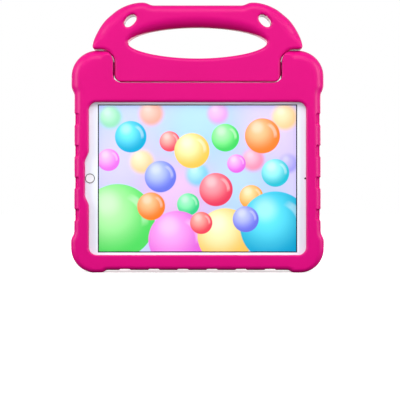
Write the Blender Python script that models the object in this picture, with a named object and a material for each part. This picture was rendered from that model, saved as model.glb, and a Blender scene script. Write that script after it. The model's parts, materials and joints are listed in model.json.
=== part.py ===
"""Shockproof foam tablet case with a folding carry handle, holding a tablet.

Metres, +Z up. The screen faces -Y and +X is on its right. The origin is under the
middle of the case, on the surface that it stands on.
"""
import math

import bmesh
import bpy
from mathutils import Matrix, Vector


def mix(a, b, t):
    """Value between a and b."""
    return a + (b - a) * t


# Tablet
TABLET_WIDTH = 0.2506
TABLET_HEIGHT = 0.1741
TABLET_CORNER = 0.0120
TRAY_EDGE = 0.0020
GLASS_THICKNESS = 0.0008
TRAY_THICKNESS = 0.0064
DISPLAY_SIDE_BORDER = 0.0184
DISPLAY_END_BORDER = 0.00775
DISPLAY_THICKNESS = 0.0014
BUTTON_RADIUS = 0.0045
BUTTON_RING = 0.0005
BUTTON_THICKNESS = 0.0014
BUTTON_INSET = 0.0093
BUTTON_TRAVEL = 0.0003
FRONT_CAMERA_RADIUS = 0.0011
FRONT_CAMERA_INSET = 0.0090
REAR_CAMERA_RADIUS = 0.0028
REAR_CAMERA_RING = 0.0012
REAR_CAMERA_RISE = 0.0006
REAR_CAMERA_SINK = 0.0008
REAR_CAMERA_INSET_X = 0.0105
REAR_CAMERA_INSET_Z = 0.0110
PORT_LENGTH = 0.0090
PORT_HEIGHT = 0.0032
PORT_DEPTH = 0.0070
PORT_WALL = 0.0005

# Clearances
FIT = 0.0003
TRACE = 0.0001
SIDE_GAP = 0.0014
FLOOR_GAP = 0.0011
ARM_GAP = 0.0019
SWEEP_GAP = 0.0010
OVERSHOOT = 0.0040

# Case shell
CASE_DEPTH = 0.0300
LIP_DEPTH = 0.0060
SIDE_WALL = 0.0075
BOTTOM_WALL = 0.0114
TOP_WALL = 0.0157
FOOT_DROP = 0.0028
FOOT_RUN = 0.0042
FOOT_START = 0.0350
BUMPER_BULGE = 0.0034
BUMPER_RADIUS = 0.0265
BUMPER_HEIGHT = 0.0365
BUMPER_FLARE = 0.0060
SHOULDER_WIDTH = 0.0453
SHOULDER_RADIUS = 0.0287
SHOULDER_RISE = 0.0187
SHOULDER_INNER_RADIUS = 0.0125
SHOULDER_START = 0.0116
FOOT_RIM = 0.0050
SIDE_RIM = 0.0070
SHOULDER_RIM = 0.0100
RECESS_RIM = 0.0020
FOOT_BEND = 0.0050
FOOT_BEND_OUTER = 0.0070
BUMPER_BEND = 0.0100
SHOULDER_BEND = 0.0120
FOOT_BLEND = 0.0200
SHOULDER_BLEND = 0.0400
PAD_RISE = 0.0006

# Screen window in the front of the shell
LIP_SIDE = 0.0083
LIP_BOTTOM = 0.0045
LIP_TOP = 0.0050
WINDOW_CORNER = 0.0086
WINDOW_RIM = 0.0030
BUTTON_BAY = 0.0042
BUTTON_BAY_HALF = 0.0193
BUTTON_BAY_RAMP = 0.0090
BUTTON_BAY_BEND = 0.0080

# Grips, pockets and holes of the shell
GROOVE_COUNT = 4
GROOVE_PITCH = 0.0343
GROOVE_LENGTH = 0.0130
GROOVE_DEPTH = 0.0013
GROOVE_RISE = 0.0134
NOTCH_DEPTH = 0.0063
NOTCH_REACH = 0.0030
FOOT_GROOVE_COUNT = 6
FOOT_GROOVE_PITCH = 0.0313
FOOT_GROOVE_LENGTH = 0.0118
FOOT_GROOVE_DEPTH = 0.0012
PORT_OPENING_LENGTH = 0.0160
PORT_OPENING_HEIGHT = 0.0085
SOUND_HOLE_RADIUS = 0.0013
SOUND_HOLE_PITCH = 0.0100
SOUND_HOLE_START = 0.0160
SOUND_HOLE_COUNT = 4
MIC_HOLE_RADIUS = 0.0016
MIC_HOLE_INSET = 0.0125
CAMERA_SLOT_WIDTH = 0.0140
CAMERA_SLOT_HEIGHT = 0.0290
CAMERA_SLOT_DROP = 0.0085
POCKET_DEPTH = 0.0080
POCKET_HEIGHT = 0.0092
POCKET_LENGTH = 0.0320
POCKET_RIGHT_INSET = 0.0220
POCKET_LEFT_INSET = 0.0525
POCKET_CORNER = 0.0025

# Raised pad and its channel on the back of the shell
PAD_SIDE_INSET = 0.0213
PAD_END_INSET = 0.00905
PAD_CORNER = 0.0140
PAD_RIM = 0.0050
PAD_CENTRE_UP = 0.0085
CHANNEL_WIDTH = 0.0080
CHANNEL_DEPTH = 0.0075
CHANNEL_RIM = 0.0025
STEP_COUNT = 2
STEP_WIDTH = 0.0032
STEP_DEPTH = 0.0005

# Handle
HANDLE_DEPTH = 0.0280
TAB_DROP = 0.0146
TAB_CORNER = 0.0075
TAB_RIM = 0.0040
ARM_REACH = 0.0238
ARM_LEAN = 0.0030
ARM_BEND_RATIO = 0.46
CROWN_INSET = 0.0362
HANDLE_ROUND_RATIO = 0.92
ARM_TIP_RADIUS = 0.0030
ARM_RIM = 0.0090
ARM_TIP_RIM = 0.0024
ARM_RIM_BLEND = 0.0220
HANDLE_RISE = 0.0715
HORN_INSET = 0.0571
HORN_LENGTH = 0.0070
HORN_RISE = 0.0032
HORN_RADIUS = 0.0120
HAND_SLOT_INSET = 0.0146
HAND_SLOT_HALF_HEIGHT = 0.0170
HAND_SLOT_DROP = 0.0439
HAND_SLOT_POWER = 1.9
HAND_SLOT_RIM = 0.0040
CORD_SLOT_HALF = 0.0080
CORD_SLOT_HALF_WIDTH = 0.0049
CORD_SLOT_POWER = 2.2
CORD_SLOT_INSET = 0.0411
CORD_SLOT_DROP = 0.0205
CORD_SLOT_TILT = math.radians(45)
CORD_SLOT_RIM = 0.0025
FOLD_ANGLE = math.radians(100)

# Pivot pins
PIN_RADIUS = 0.0050
PIN_IN_HANDLE = 0.0135
PIN_IN_SHOULDER = 0.0175
PIN_CHAMFER = 0.0008
COLLAR_RADIUS = 0.0075

# Smoothness of curves, and how round an end is as a share of its width
ROUND_END = 0.46
ARC_STEP = math.radians(15)
EDGE_STEPS = 3
ROUND_SIDES = 20
SPIN_STEP = math.radians(10)
LONG_EDGE = 0.0400
SHADE_ANGLE = math.radians(40)

# Planes across the depth
FRONT = -CASE_DEPTH / 2
BACK = CASE_DEPTH / 2
MARGIN = BACK - PAD_RISE
GLASS_FRONT = FRONT + LIP_DEPTH
GLASS_BACK = GLASS_FRONT + GLASS_THICKNESS
TRAY_FRONT = GLASS_BACK + TRACE
TRAY_BACK = TRAY_FRONT + TRAY_THICKNESS
CAVITY_BACK = TRAY_BACK + FIT

# Heights and widths that follow
DISPLAY_WIDTH = TABLET_WIDTH - 2 * DISPLAY_SIDE_BORDER
DISPLAY_HEIGHT = TABLET_HEIGHT - 2 * DISPLAY_END_BORDER
CASE_HALF = TABLET_WIDTH / 2 + FIT + SIDE_WALL
CAVITY_LOW = FOOT_DROP + BOTTOM_WALL
TABLET_LOW = CAVITY_LOW + FIT
TABLET_MIDDLE = TABLET_LOW + TABLET_HEIGHT / 2
TABLET_HIGH = TABLET_LOW + TABLET_HEIGHT
CAVITY_HIGH = TABLET_HIGH + FIT
RECESS_FLOOR = CAVITY_HIGH + TOP_WALL
RECESS_HALF = CASE_HALF + BUMPER_BULGE - SHOULDER_WIDTH
TAB_HALF = RECESS_HALF - SIDE_GAP
ARM_HALF = TAB_HALF + ARM_REACH
HAND_SLOT_HALF = TAB_HALF - HAND_SLOT_INSET
CORD_SLOT_OUT = ARM_HALF - CORD_SLOT_INSET
PAD_WIDTH = TABLET_WIDTH - 2 * PAD_SIDE_INSET
PAD_HEIGHT = TABLET_HEIGHT - 2 * PAD_END_INSET
PIVOT = RECESS_FLOOR + FLOOR_GAP + TAB_DROP
ARM_UNDERSIDE = PIVOT + SHOULDER_RISE + ARM_GAP
HANDLE_TOP = PIVOT + HANDLE_RISE
HANDLE_RADIUS = (HANDLE_TOP - ARM_UNDERSIDE) * HANDLE_ROUND_RATIO
ARM_BEND = mix(ARM_UNDERSIDE, HANDLE_TOP, ARM_BEND_RATIO)
HORN_INNER = ARM_HALF - HORN_INSET
HORN_FOOT = HORN_INNER - HORN_LENGTH
PAD_MIDDLE = TABLET_MIDDLE + PAD_CENTRE_UP
SPEAKER_DEPTH = TRAY_BACK - TRAY_THICKNESS / 3
PORT_MIDDLE = (TRAY_FRONT + TRAY_BACK) / 2
CAMERA_X = TABLET_WIDTH / 2 - REAR_CAMERA_INSET_X
CAMERA_Z = TABLET_LOW + REAR_CAMERA_INSET_Z
BUTTON_X = BUTTON_INSET - TABLET_WIDTH / 2
BUTTON_BORE = BUTTON_RADIUS + BUTTON_RING + 2 * FIT

FOAM = ("eva_foam_pink", "#EE1289", 0.62, 0.0)
HARD_PLASTIC = ("pin_plastic", "#C01070", 0.45, 0.0)
ALUMINIUM = ("tray_aluminium", "#E4E6EA", 0.35, 0.9)
WHITE_GLASS = ("cover_glass", "#EEF2F8", 0.08, 0.0)
DISPLAY = ("display", "#BBD0FF", 0.20, 0.0)
RING_METAL = ("ring_metal", "#B8B4AC", 0.30, 1.0)
DARK_GLASS = ("lens_glass", "#0A0C12", 0.08, 0.0)
DARK_PLASTIC = ("socket_plastic", "#15161A", 0.50, 0.0)


def smooth(t):
    """Ease from 0 to 1 as t runs from 0 to 1."""
    t = min(max(t, 0.0), 1.0)
    return t * t * (3 - 2 * t)


def linear(hex_colour):
    """Linear RGBA of an sRGB hex colour."""
    channels = [int(hex_colour[i:i + 2], 16) / 255 for i in (1, 3, 5)]
    return [c / 12.92 if c <= 0.04045 else ((c + 0.055) / 1.055) ** 2.4 for c in channels] + [1.0]


def material(look):
    """Principled material of a look, made once."""
    name, colour, roughness, metallic = look
    made = bpy.data.materials.get(name)
    if made:
        return made
    made = bpy.data.materials.new(name)
    made.use_nodes = True
    shader = made.node_tree.nodes["Principled BSDF"]
    shader.inputs["Base Color"].default_value = linear(colour)
    shader.inputs["Roughness"].default_value = roughness
    shader.inputs["Metallic"].default_value = metallic
    made.diffuse_color = linear(colour)
    return made


def round_corners(corners):
    """Closed outline of (x, z) points from (x, z, radius) corners."""
    points = []
    for i, (x, z, radius) in enumerate(corners):
        here = Vector((x, z))
        before = Vector(corners[i - 1][:2]) - here
        after = Vector(corners[(i + 1) % len(corners)][:2]) - here
        if radius <= 0:
            points.append(here)
            continue
        half = before.angle(after) / 2
        reach = radius / math.tan(half)
        start = here + before.normalized() * reach
        centre = here + (before.normalized() + after.normalized()).normalized() * radius / math.sin(half)
        spoke = start - centre
        turn = math.pi - 2 * half
        if before.x * after.y - before.y * after.x > 0:
            turn = -turn
        steps = max(2, math.ceil(abs(turn) / ARC_STEP))
        for k in range(steps + 1):
            angle = turn * k / steps
            c, s = math.cos(angle), math.sin(angle)
            points.append(centre + Vector((spoke.x * c - spoke.y * s, spoke.x * s + spoke.y * c)))
    return split_long([p for i, p in enumerate(points) if (p - points[i - 1]).length > 1e-6])


def split_long(points):
    """Outline with its long straight edges cut into shorter ones."""
    result = []
    for i, point in enumerate(points):
        after = points[(i + 1) % len(points)]
        parts = math.ceil((after - point).length / LONG_EDGE)
        result += [point.lerp(after, k / parts) for k in range(max(parts, 1))]
    return result


def mirrored(half):
    """Corners of both sides, from those of the right side listed anticlockwise."""
    return half + [(-x, z, radius) for x, z, radius in reversed(half)]


def rounded_box(middle, width, height, radius):
    """Outline of a rectangle with round corners, anticlockwise."""
    x, z = middle
    w, h = width / 2, height / 2
    return round_corners([(x - w, z - h, radius), (x + w, z - h, radius),
                          (x + w, z + h, radius), (x - w, z + h, radius)])


def oval(middle, half_width, half_height, power=2.0, sides=ROUND_SIDES):
    """Outline of an ellipse, or of a lens with finer tips where power is below 2."""
    points = []
    for k in range(sides):
        c, s = math.cos(math.tau * k / sides), math.sin(math.tau * k / sides)
        x = math.copysign(abs(c) ** (2 / power), c)
        z = math.copysign(abs(s) ** (2 / power), s)
        points.append(Vector((middle[0] + half_width * x, middle[1] + half_height * z)))
    return points


def tilted(outline, middle, angle):
    """Outline turned about a point."""
    c, s = math.cos(angle), math.sin(angle)
    middle = Vector(middle)
    turned_points = []
    for point in outline:
        arm = point - middle
        turned_points.append(middle + Vector((arm.x * c - arm.y * s, arm.x * s + arm.y * c)))
    return turned_points


def shrunk(outline, distances):
    """Outline moved inwards by one distance for each point, or outwards where it is negative."""
    result = []
    for i, point in enumerate(outline):
        along_a = (point - outline[i - 1]).normalized()
        along_b = (outline[(i + 1) % len(outline)] - point).normalized()
        inward_a = Vector((-along_a.y, along_a.x))
        middle = (inward_a + Vector((-along_b.y, along_b.x))).normalized()
        result.append(point + middle * distances[i] / middle.dot(inward_a))
    return result


def port_outline(height, length):
    """Round-ended outline about the middle of the charging port, for a sideways plate."""
    return rounded_box((PORT_MIDDLE, TABLET_MIDDLE), height, length, height * ROUND_END)


def sideways(piece):
    """Turn a plate so that its depth runs along -X."""
    piece.data.transform(Matrix.Rotation(math.pi / 2, 4, "Z"))
    return piece


def finish(name, bm, look):
    """Object made from a bmesh, shaded smooth across its round faces."""
    bmesh.ops.recalc_face_normals(bm, faces=bm.faces)
    mesh = bpy.data.meshes.new(name)
    bm.to_mesh(mesh)
    bm.free()
    mesh.shade_smooth()
    mesh.set_sharp_from_angle(angle=SHADE_ANGLE)
    made = bpy.data.objects.new(name, mesh)
    bpy.context.scene.collection.objects.link(made)
    if look:
        mesh.materials.append(material(look))
    else:
        made.hide_render = True
        made.display_type = "WIRE"
    return made


def loft(sections):
    """Closed bmesh through loops of (x, y, z) points with equal counts."""
    bm = bmesh.new()
    order = bm.verts.layers.int.new("order")
    face = bm.faces.new([bm.verts.new(point) for point in sections[0]])
    for i, vert in enumerate(face.verts):
        vert[order] = i
    for i, section in enumerate(sections[1:]):
        grown = bmesh.ops.extrude_face_region(bm, geom=[face])["geom"]
        if i:
            bmesh.ops.delete(bm, geom=[face], context="FACES_ONLY")
        face = next(item for item in grown if isinstance(item, bmesh.types.BMFace))
        for vert in face.verts:
            vert.co = section[vert[order]]
    return bm


def edge_sections(outline, plane, inwards, radii):
    """Loops of a rounded edge that starts on a plane, or of a flared mouth where radii are negative."""
    loops = []
    flared = min(radii) < 0
    for k in range(1 if flared else 0, EDGE_STEPS + 1):
        angle = math.pi / 2 * k / EDGE_STEPS
        moved = shrunk(outline, [r * (1 - math.sin(angle)) for r in radii])
        depths = [abs(r) * (1 - math.cos(angle)) for r in radii]
        loops.append([(p.x, plane + inwards * d, p.y) for p, d in zip(moved, depths)])
    if flared:
        loops.insert(0, [(x, plane - inwards * OVERSHOOT, z) for x, y, z in loops[0]])
    return loops


def plate(name, outline, front, back, front_edge, back_edge, look=None):
    """Solid of an outline between two planes; each edge has a radius, or a function that gives one."""
    sections = []
    for plane, inwards, edge in ((front, 1, front_edge), (back, -1, back_edge)):
        radii = [edge(p.x, p.y) if callable(edge) else edge for p in outline]
        if any(radii):
            loops = edge_sections(outline, plane, inwards, radii)
        else:
            loops = [[(p.x, plane, p.y) for p in outline]]
        sections += loops if inwards > 0 else loops[::-1]
    return finish(name, loft(sections), look)


def turned(name, profile, centre, axis, look=None, angle=math.tau):
    """Solid of revolution from (along, radius) points about an axis through a centre."""
    bm = bmesh.new()
    axis = Vector(axis)
    out = axis.orthogonal().normalized()
    verts = [bm.verts.new(Vector(centre) + axis * a + out * r) for a, r in profile]
    edges = [bm.edges.new(pair) for pair in zip(verts, verts[1:])]
    bmesh.ops.spin(bm, geom=verts + edges, cent=centre, axis=axis, dvec=(0, 0, 0),
                   angle=angle, steps=ROUND_SIDES, use_merge=True, use_duplicate=False)
    bmesh.ops.remove_doubles(bm, verts=bm.verts, dist=1e-6)
    return finish(name, bm, look)


def disc(name, centre, axis, radius, start, end, look=None, chamfer=0.0):
    """Round plug from start to end along an axis, with chamfered ends."""
    profile = [(start, 0), (start, radius - chamfer), (start + chamfer, radius),
               (end - chamfer, radius), (end, radius - chamfer), (end, 0)]
    return turned(name, profile, centre, axis, look)


def ring(name, centre, axis, inner, outer, start, end, look):
    """Flat ring from start to end along an axis."""
    profile = [(start, inner), (start, outer), (end, outer), (end, inner), (start, inner)]
    return turned(name, profile, centre, axis, look)


def combine(target, others, operation="DIFFERENCE"):
    """Cut or join hidden shapes with a solid, through one Boolean modifier."""
    group = bpy.data.collections.new(target.name + "_" + operation.lower())
    bpy.context.scene.collection.children.link(group)
    for other in others:
        bpy.context.scene.collection.objects.unlink(other)
        group.objects.link(other)
    step = target.modifiers.new(operation.title(), "BOOLEAN")
    step.operation = operation
    step.solver = "EXACT"
    step.operand_type = "COLLECTION"
    step.collection = group


def shell_outline():
    """Outer outline of the shell with its bumpers, shoulders and recess."""
    side = CASE_HALF
    bulge = CASE_HALF + BUMPER_BULGE
    top = PIVOT + SHOULDER_RISE
    foot = CASE_HALF - FOOT_START
    flare = SHOULDER_START - BUMPER_FLARE
    return round_corners(mirrored([
        (foot, FOOT_DROP, FOOT_BEND),
        (foot + FOOT_RUN, 0.0, FOOT_BEND_OUTER),
        (bulge, 0.0, BUMPER_RADIUS),
        (bulge, BUMPER_HEIGHT, BUMPER_BEND),
        (side, BUMPER_HEIGHT + BUMPER_FLARE, BUMPER_BEND),
        (side, RECESS_FLOOR - SHOULDER_START, BUMPER_BEND),
        (bulge, RECESS_FLOOR - flare, SHOULDER_BEND),
        (bulge, top, SHOULDER_RADIUS),
        (RECESS_HALF, top, SHOULDER_INNER_RADIUS),
        (RECESS_HALF, RECESS_FLOOR, TAB_CORNER + FLOOR_GAP),
    ]))


def shell_rim(x, z):
    """Edge radius of the shell at a point of its outline."""
    radius = mix(FOOT_RIM, SIDE_RIM, smooth(z / FOOT_BLEND))
    rise = (z - RECESS_FLOOR + SHOULDER_BLEND) / SHOULDER_BLEND
    radius = mix(radius, SHOULDER_RIM, smooth(rise))
    if z > RECESS_FLOOR - FIT:
        radius = mix(RECESS_RIM, radius, smooth((abs(x) - RECESS_HALF) / SHOULDER_INNER_RADIUS))
    return radius


def window_outline():
    """Outline of the screen window, with the bay for the home key on its left."""
    left = LIP_SIDE - TABLET_WIDTH / 2
    low = TABLET_LOW + LIP_BOTTOM
    high = TABLET_HIGH - LIP_TOP
    bay = left - BUTTON_BAY
    ramp = BUTTON_BAY_HALF + BUTTON_BAY_RAMP
    return round_corners([
        (left, low, WINDOW_CORNER),
        (-left, low, WINDOW_CORNER),
        (-left, high, WINDOW_CORNER),
        (left, high, WINDOW_CORNER),
        (left, TABLET_MIDDLE + ramp, BUTTON_BAY_BEND),
        (bay, TABLET_MIDDLE + BUTTON_BAY_HALF, BUTTON_BAY_BEND),
        (bay, TABLET_MIDDLE - BUTTON_BAY_HALF, BUTTON_BAY_BEND),
        (left, TABLET_MIDDLE - ramp, BUTTON_BAY_BEND),
    ])


def handle_corners():
    """Corners of the handle's outline, anticlockwise from the tab."""
    return mirrored([
        (TAB_HALF, PIVOT - TAB_DROP, TAB_CORNER),
        (TAB_HALF, ARM_UNDERSIDE, SHOULDER_INNER_RADIUS + SIDE_GAP),
        (ARM_HALF, ARM_UNDERSIDE, ARM_TIP_RADIUS),
        (ARM_HALF - ARM_LEAN, ARM_BEND, HANDLE_RADIUS),
        (ARM_HALF - CROWN_INSET, HANDLE_TOP, HANDLE_RADIUS),
        (HORN_INNER, HANDLE_TOP, HORN_RADIUS),
        (HORN_FOOT, HANDLE_TOP - HORN_RISE, HORN_RADIUS),
    ])


def handle_rim(x, z):
    """Edge radius of the handle at a point of its outline."""
    if z < ARM_UNDERSIDE - ARM_TIP_RADIUS:
        return TAB_RIM
    tip = mix(TAB_RIM, ARM_TIP_RIM, smooth((abs(x) - TAB_HALF) / (ARM_HALF - TAB_HALF)))
    return mix(tip, ARM_RIM, smooth((z - ARM_UNDERSIDE) / ARM_RIM_BLEND))


def handle_sweep_cutters():
    """Room for the handle's turn: the folded handle, the tab's path and the arms' path."""
    outline = round_corners(handle_corners())
    grown = shrunk(outline, [-SWEEP_GAP] * len(outline))
    reach = HANDLE_DEPTH / 2 + SWEEP_GAP / 2
    folded = plate("cut_folded_handle", grown, -reach, reach, 0, 0)
    about = Matrix.Translation((0, 0, PIVOT))
    folded.data.transform(about @ Matrix.Rotation(-FOLD_ANGLE, 4, "X") @ about.inverted())
    tab_reach = math.hypot(HANDLE_DEPTH / 2 - TAB_RIM, TAB_DROP - TAB_RIM) + TAB_RIM + FIT
    tab = disc("cut_tab_path", (0, 0, PIVOT), (1, 0, 0), tab_reach,
               -TAB_HALF - SWEEP_GAP, TAB_HALF + SWEEP_GAP)
    return [folded, tab, arm_path_cutter(grown)]


def arm_path_cutter(grown):
    """Solid that the undersides of the two arms sweep as the handle folds back."""
    lift = ARM_UNDERSIDE - SWEEP_GAP - PIVOT
    under = [(p.x, p.y - PIVOT) for p in grown if p.x > 0 and SWEEP_GAP < p.y - PIVOT < lift + TRACE]
    tip = ARM_HALF + SWEEP_GAP
    side = [(TAB_HALF + SWEEP_GAP, SWEEP_GAP)] + under + [(tip, lift), (tip, HANDLE_RISE / 2)]
    loop = side + [(-x, r) for x, r in reversed(side)]
    bm = bmesh.new()
    face = bm.faces.new([bm.verts.new((x, 0, PIVOT + r)) for x, r in loop])
    bmesh.ops.spin(bm, geom=[face], cent=(0, 0, PIVOT), axis=(1, 0, 0), dvec=(0, 0, 0),
                   angle=-FOLD_ANGLE, steps=round(FOLD_ANGLE / SPIN_STEP), use_duplicate=False)
    return finish("cut_arm_path", bm, None)


def back_cutters():
    """Channel round the back pad, with fine steps that lead down to it."""
    width = PAD_WIDTH + 2 * CHANNEL_WIDTH
    height = PAD_HEIGHT + 2 * CHANNEL_WIDTH
    corner = PAD_CORNER + CHANNEL_WIDTH
    middle = (0, PAD_MIDDLE)
    cutters = [plate("cut_channel", rounded_box(middle, width, height, corner),
                     BACK - CHANNEL_DEPTH, BACK + OVERSHOOT, CHANNEL_RIM, 0)]
    for k in range(STEP_COUNT):
        grow = STEP_WIDTH * (STEP_COUNT - k)
        outline = rounded_box(middle, width + 2 * grow, height + 2 * grow, corner + grow)
        cutters.append(plate(f"cut_step_{k}", outline, MARGIN - STEP_DEPTH * (k + 1), BACK + OVERSHOOT, 0, 0))
    return cutters


def back_pad():
    """Raised pad, rooted in the floor of its channel."""
    return plate("add_back_pad", rounded_box((0, PAD_MIDDLE), PAD_WIDTH, PAD_HEIGHT, PAD_CORNER),
                 BACK - CHANNEL_DEPTH - PAD_RIM / 2, BACK, 0, PAD_RIM)


def grip_cutters():
    """Grip grooves down both sides and along the bottom, and notches in the front corners."""
    cutters = []
    low = BUMPER_HEIGHT + BUMPER_FLARE + GROOVE_RISE
    for side in (-1, 1):
        for k in range(GROOVE_COUNT):
            z = low + GROOVE_LENGTH / 2 + GROOVE_PITCH * k
            groove = rounded_box((side * (CASE_HALF - GROOVE_DEPTH + OVERSHOOT), z),
                                 2 * OVERSHOOT, GROOVE_LENGTH, GROOVE_DEPTH)
            notch = rounded_box((side * (CASE_HALF - NOTCH_DEPTH + OVERSHOOT), z),
                                2 * OVERSHOOT, GROOVE_LENGTH - 2 * FIT, GROOVE_DEPTH)
            cutters += [
                plate(f"cut_groove_{side}_{k}", groove, FRONT - OVERSHOOT, BACK + OVERSHOOT, 0, 0),
                plate(f"cut_notch_{side}_{k}", notch, FRONT - OVERSHOOT, FRONT + NOTCH_REACH, 0, 0),
            ]
    for k in range(FOOT_GROOVE_COUNT):
        x = FOOT_GROOVE_PITCH * (k - (FOOT_GROOVE_COUNT - 1) / 2)
        outline = rounded_box((x, FOOT_DROP + FOOT_GROOVE_DEPTH - OVERSHOOT / 2), FOOT_GROOVE_LENGTH,
                              OVERSHOOT, FOOT_GROOVE_DEPTH)
        cutters.append(plate(f"cut_foot_groove_{k}", outline, FRONT - OVERSHOOT, BACK + OVERSHOOT, 0, 0))
    return cutters


def opening_cutters():
    """Holes for the port, speakers, microphone and rear camera, and the finger pockets."""
    out = CASE_HALF + BUMPER_BULGE
    tunnel = TABLET_WIDTH / 2 - OVERSHOOT
    port = port_outline(PORT_OPENING_HEIGHT, PORT_OPENING_LENGTH)
    cutters = [sideways(plate("cut_port", port, tunnel, out, 0, 0))]
    for way in (-1, 1):
        for k in range(SOUND_HOLE_COUNT):
            z = TABLET_MIDDLE + way * (SOUND_HOLE_START + SOUND_HOLE_PITCH * k)
            cutters.append(disc(f"cut_sound_{way}_{k}", (0, SPEAKER_DEPTH, z), (1, 0, 0),
                                SOUND_HOLE_RADIUS, -out, -tunnel))
    mic = (CASE_HALF - MIC_HOLE_INSET, 0, TABLET_MIDDLE)
    cutters.append(disc("cut_mic", mic, (0, 1, 0), MIC_HOLE_RADIUS, TRAY_FRONT, BACK + OVERSHOOT))
    slot_z = CAMERA_Z - CAMERA_SLOT_DROP + CAMERA_SLOT_HEIGHT / 2
    slot = rounded_box((CAMERA_X, slot_z), CAMERA_SLOT_WIDTH, CAMERA_SLOT_HEIGHT,
                       CAMERA_SLOT_WIDTH * ROUND_END)
    cutters.append(plate("cut_camera_slot", slot, TRAY_FRONT, BACK + OVERSHOOT, 0, 0))
    for name, x in (("right", CASE_HALF - POCKET_RIGHT_INSET), ("left", POCKET_LEFT_INSET - CASE_HALF)):
        top = FOOT_DROP + POCKET_HEIGHT
        outline = rounded_box((x, (top - OVERSHOOT) / 2), POCKET_LENGTH, top + OVERSHOOT, POCKET_CORNER)
        cutters.append(plate(f"cut_pocket_{name}", outline, BACK - POCKET_DEPTH, BACK + OVERSHOOT, 0, 0))
    return cutters


def pin_bore(name, side, start, end):
    """Cutter for the bore that a pivot pin sits in."""
    bore = disc(name, (0, 0, PIVOT), (1, 0, 0), PIN_RADIUS + FIT, start, end)
    if side < 0:
        bore.data.transform(Matrix.Rotation(math.pi, 4, "Z"))
    return bore


def case_shell():
    """Foam shell: frame, back, bumpers and shoulders in one moulding."""
    shell = plate("case_shell", shell_outline(), FRONT, MARGIN, shell_rim, shell_rim, FOAM)
    width = TABLET_WIDTH + 2 * FIT
    height = TABLET_HEIGHT + 2 * FIT
    cavity = plate("cut_cavity", rounded_box((0, TABLET_MIDDLE), width, height, TABLET_CORNER + FIT),
                   GLASS_FRONT - FIT, CAVITY_BACK, 0, TRAY_EDGE)
    window = plate("cut_window", window_outline(), FRONT, GLASS_BACK, -WINDOW_RIM, 0)
    bores = [pin_bore(f"cut_shoulder_bore_{side}", side, TAB_HALF, RECESS_HALF + PIN_IN_SHOULDER + FIT)
             for side in (-1, 1)]
    combine(shell, back_cutters())
    combine(shell, [back_pad()], "UNION")
    cuts = [cavity, window] + bores + handle_sweep_cutters() + grip_cutters() + opening_cutters()
    combine(shell, cuts)
    return shell


def handle():
    """Foam handle, which is also the stand, with its hand slot and two cord slots."""
    outline = round_corners(handle_corners())
    front, back = -HANDLE_DEPTH / 2, HANDLE_DEPTH / 2
    grip = plate("handle", outline, front, back, handle_rim, handle_rim, FOAM)
    slot = oval((0, HANDLE_TOP - HAND_SLOT_DROP), HAND_SLOT_HALF, HAND_SLOT_HALF_HEIGHT,
                HAND_SLOT_POWER, 2 * ROUND_SIDES)
    cuts = [plate("cut_hand_slot", slot, front, back, -HAND_SLOT_RIM, -HAND_SLOT_RIM)]
    for side in (-1, 1):
        middle = (side * CORD_SLOT_OUT, HANDLE_TOP - CORD_SLOT_DROP)
        outline = oval(middle, CORD_SLOT_HALF, CORD_SLOT_HALF_WIDTH, CORD_SLOT_POWER)
        cuts.append(plate(f"cut_cord_slot_{side}", tilted(outline, middle, -side * CORD_SLOT_TILT),
                          front, back, -CORD_SLOT_RIM, -CORD_SLOT_RIM))
        cuts.append(pin_bore(f"cut_handle_bore_{side}", side, TAB_HALF - PIN_IN_HANDLE - FIT, RECESS_HALF))
    combine(grip, cuts)
    place_origin(grip, (0, 0, PIVOT))
    return grip


def place_origin(piece, point):
    """Put a piece's origin at a point, with its shape where it was."""
    piece.data.transform(Matrix.Translation(point).inverted())
    piece.location = point


def pivot_pin(name, side):
    """Hard pin from a shoulder into the tab, with a collar that fills the gap between them."""
    gap = (RECESS_HALF - TAB_HALF) / 2
    middle = TAB_HALF + gap
    collar = gap - FIT
    start, end = TAB_HALF - PIN_IN_HANDLE, RECESS_HALF + PIN_IN_SHOULDER
    profile = [(start, 0), (start, PIN_RADIUS - PIN_CHAMFER), (start + PIN_CHAMFER, PIN_RADIUS),
               (middle - collar, PIN_RADIUS), (middle - collar, COLLAR_RADIUS),
               (middle + collar, COLLAR_RADIUS), (middle + collar, PIN_RADIUS),
               (end - PIN_CHAMFER, PIN_RADIUS), (end, PIN_RADIUS - PIN_CHAMFER), (end, 0)]
    pin = turned(name, [(side * a, r) for a, r in profile], (0, 0, PIVOT), (1, 0, 0), HARD_PLASTIC)
    place_origin(pin, (side * middle, 0, PIVOT))
    return pin


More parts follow.
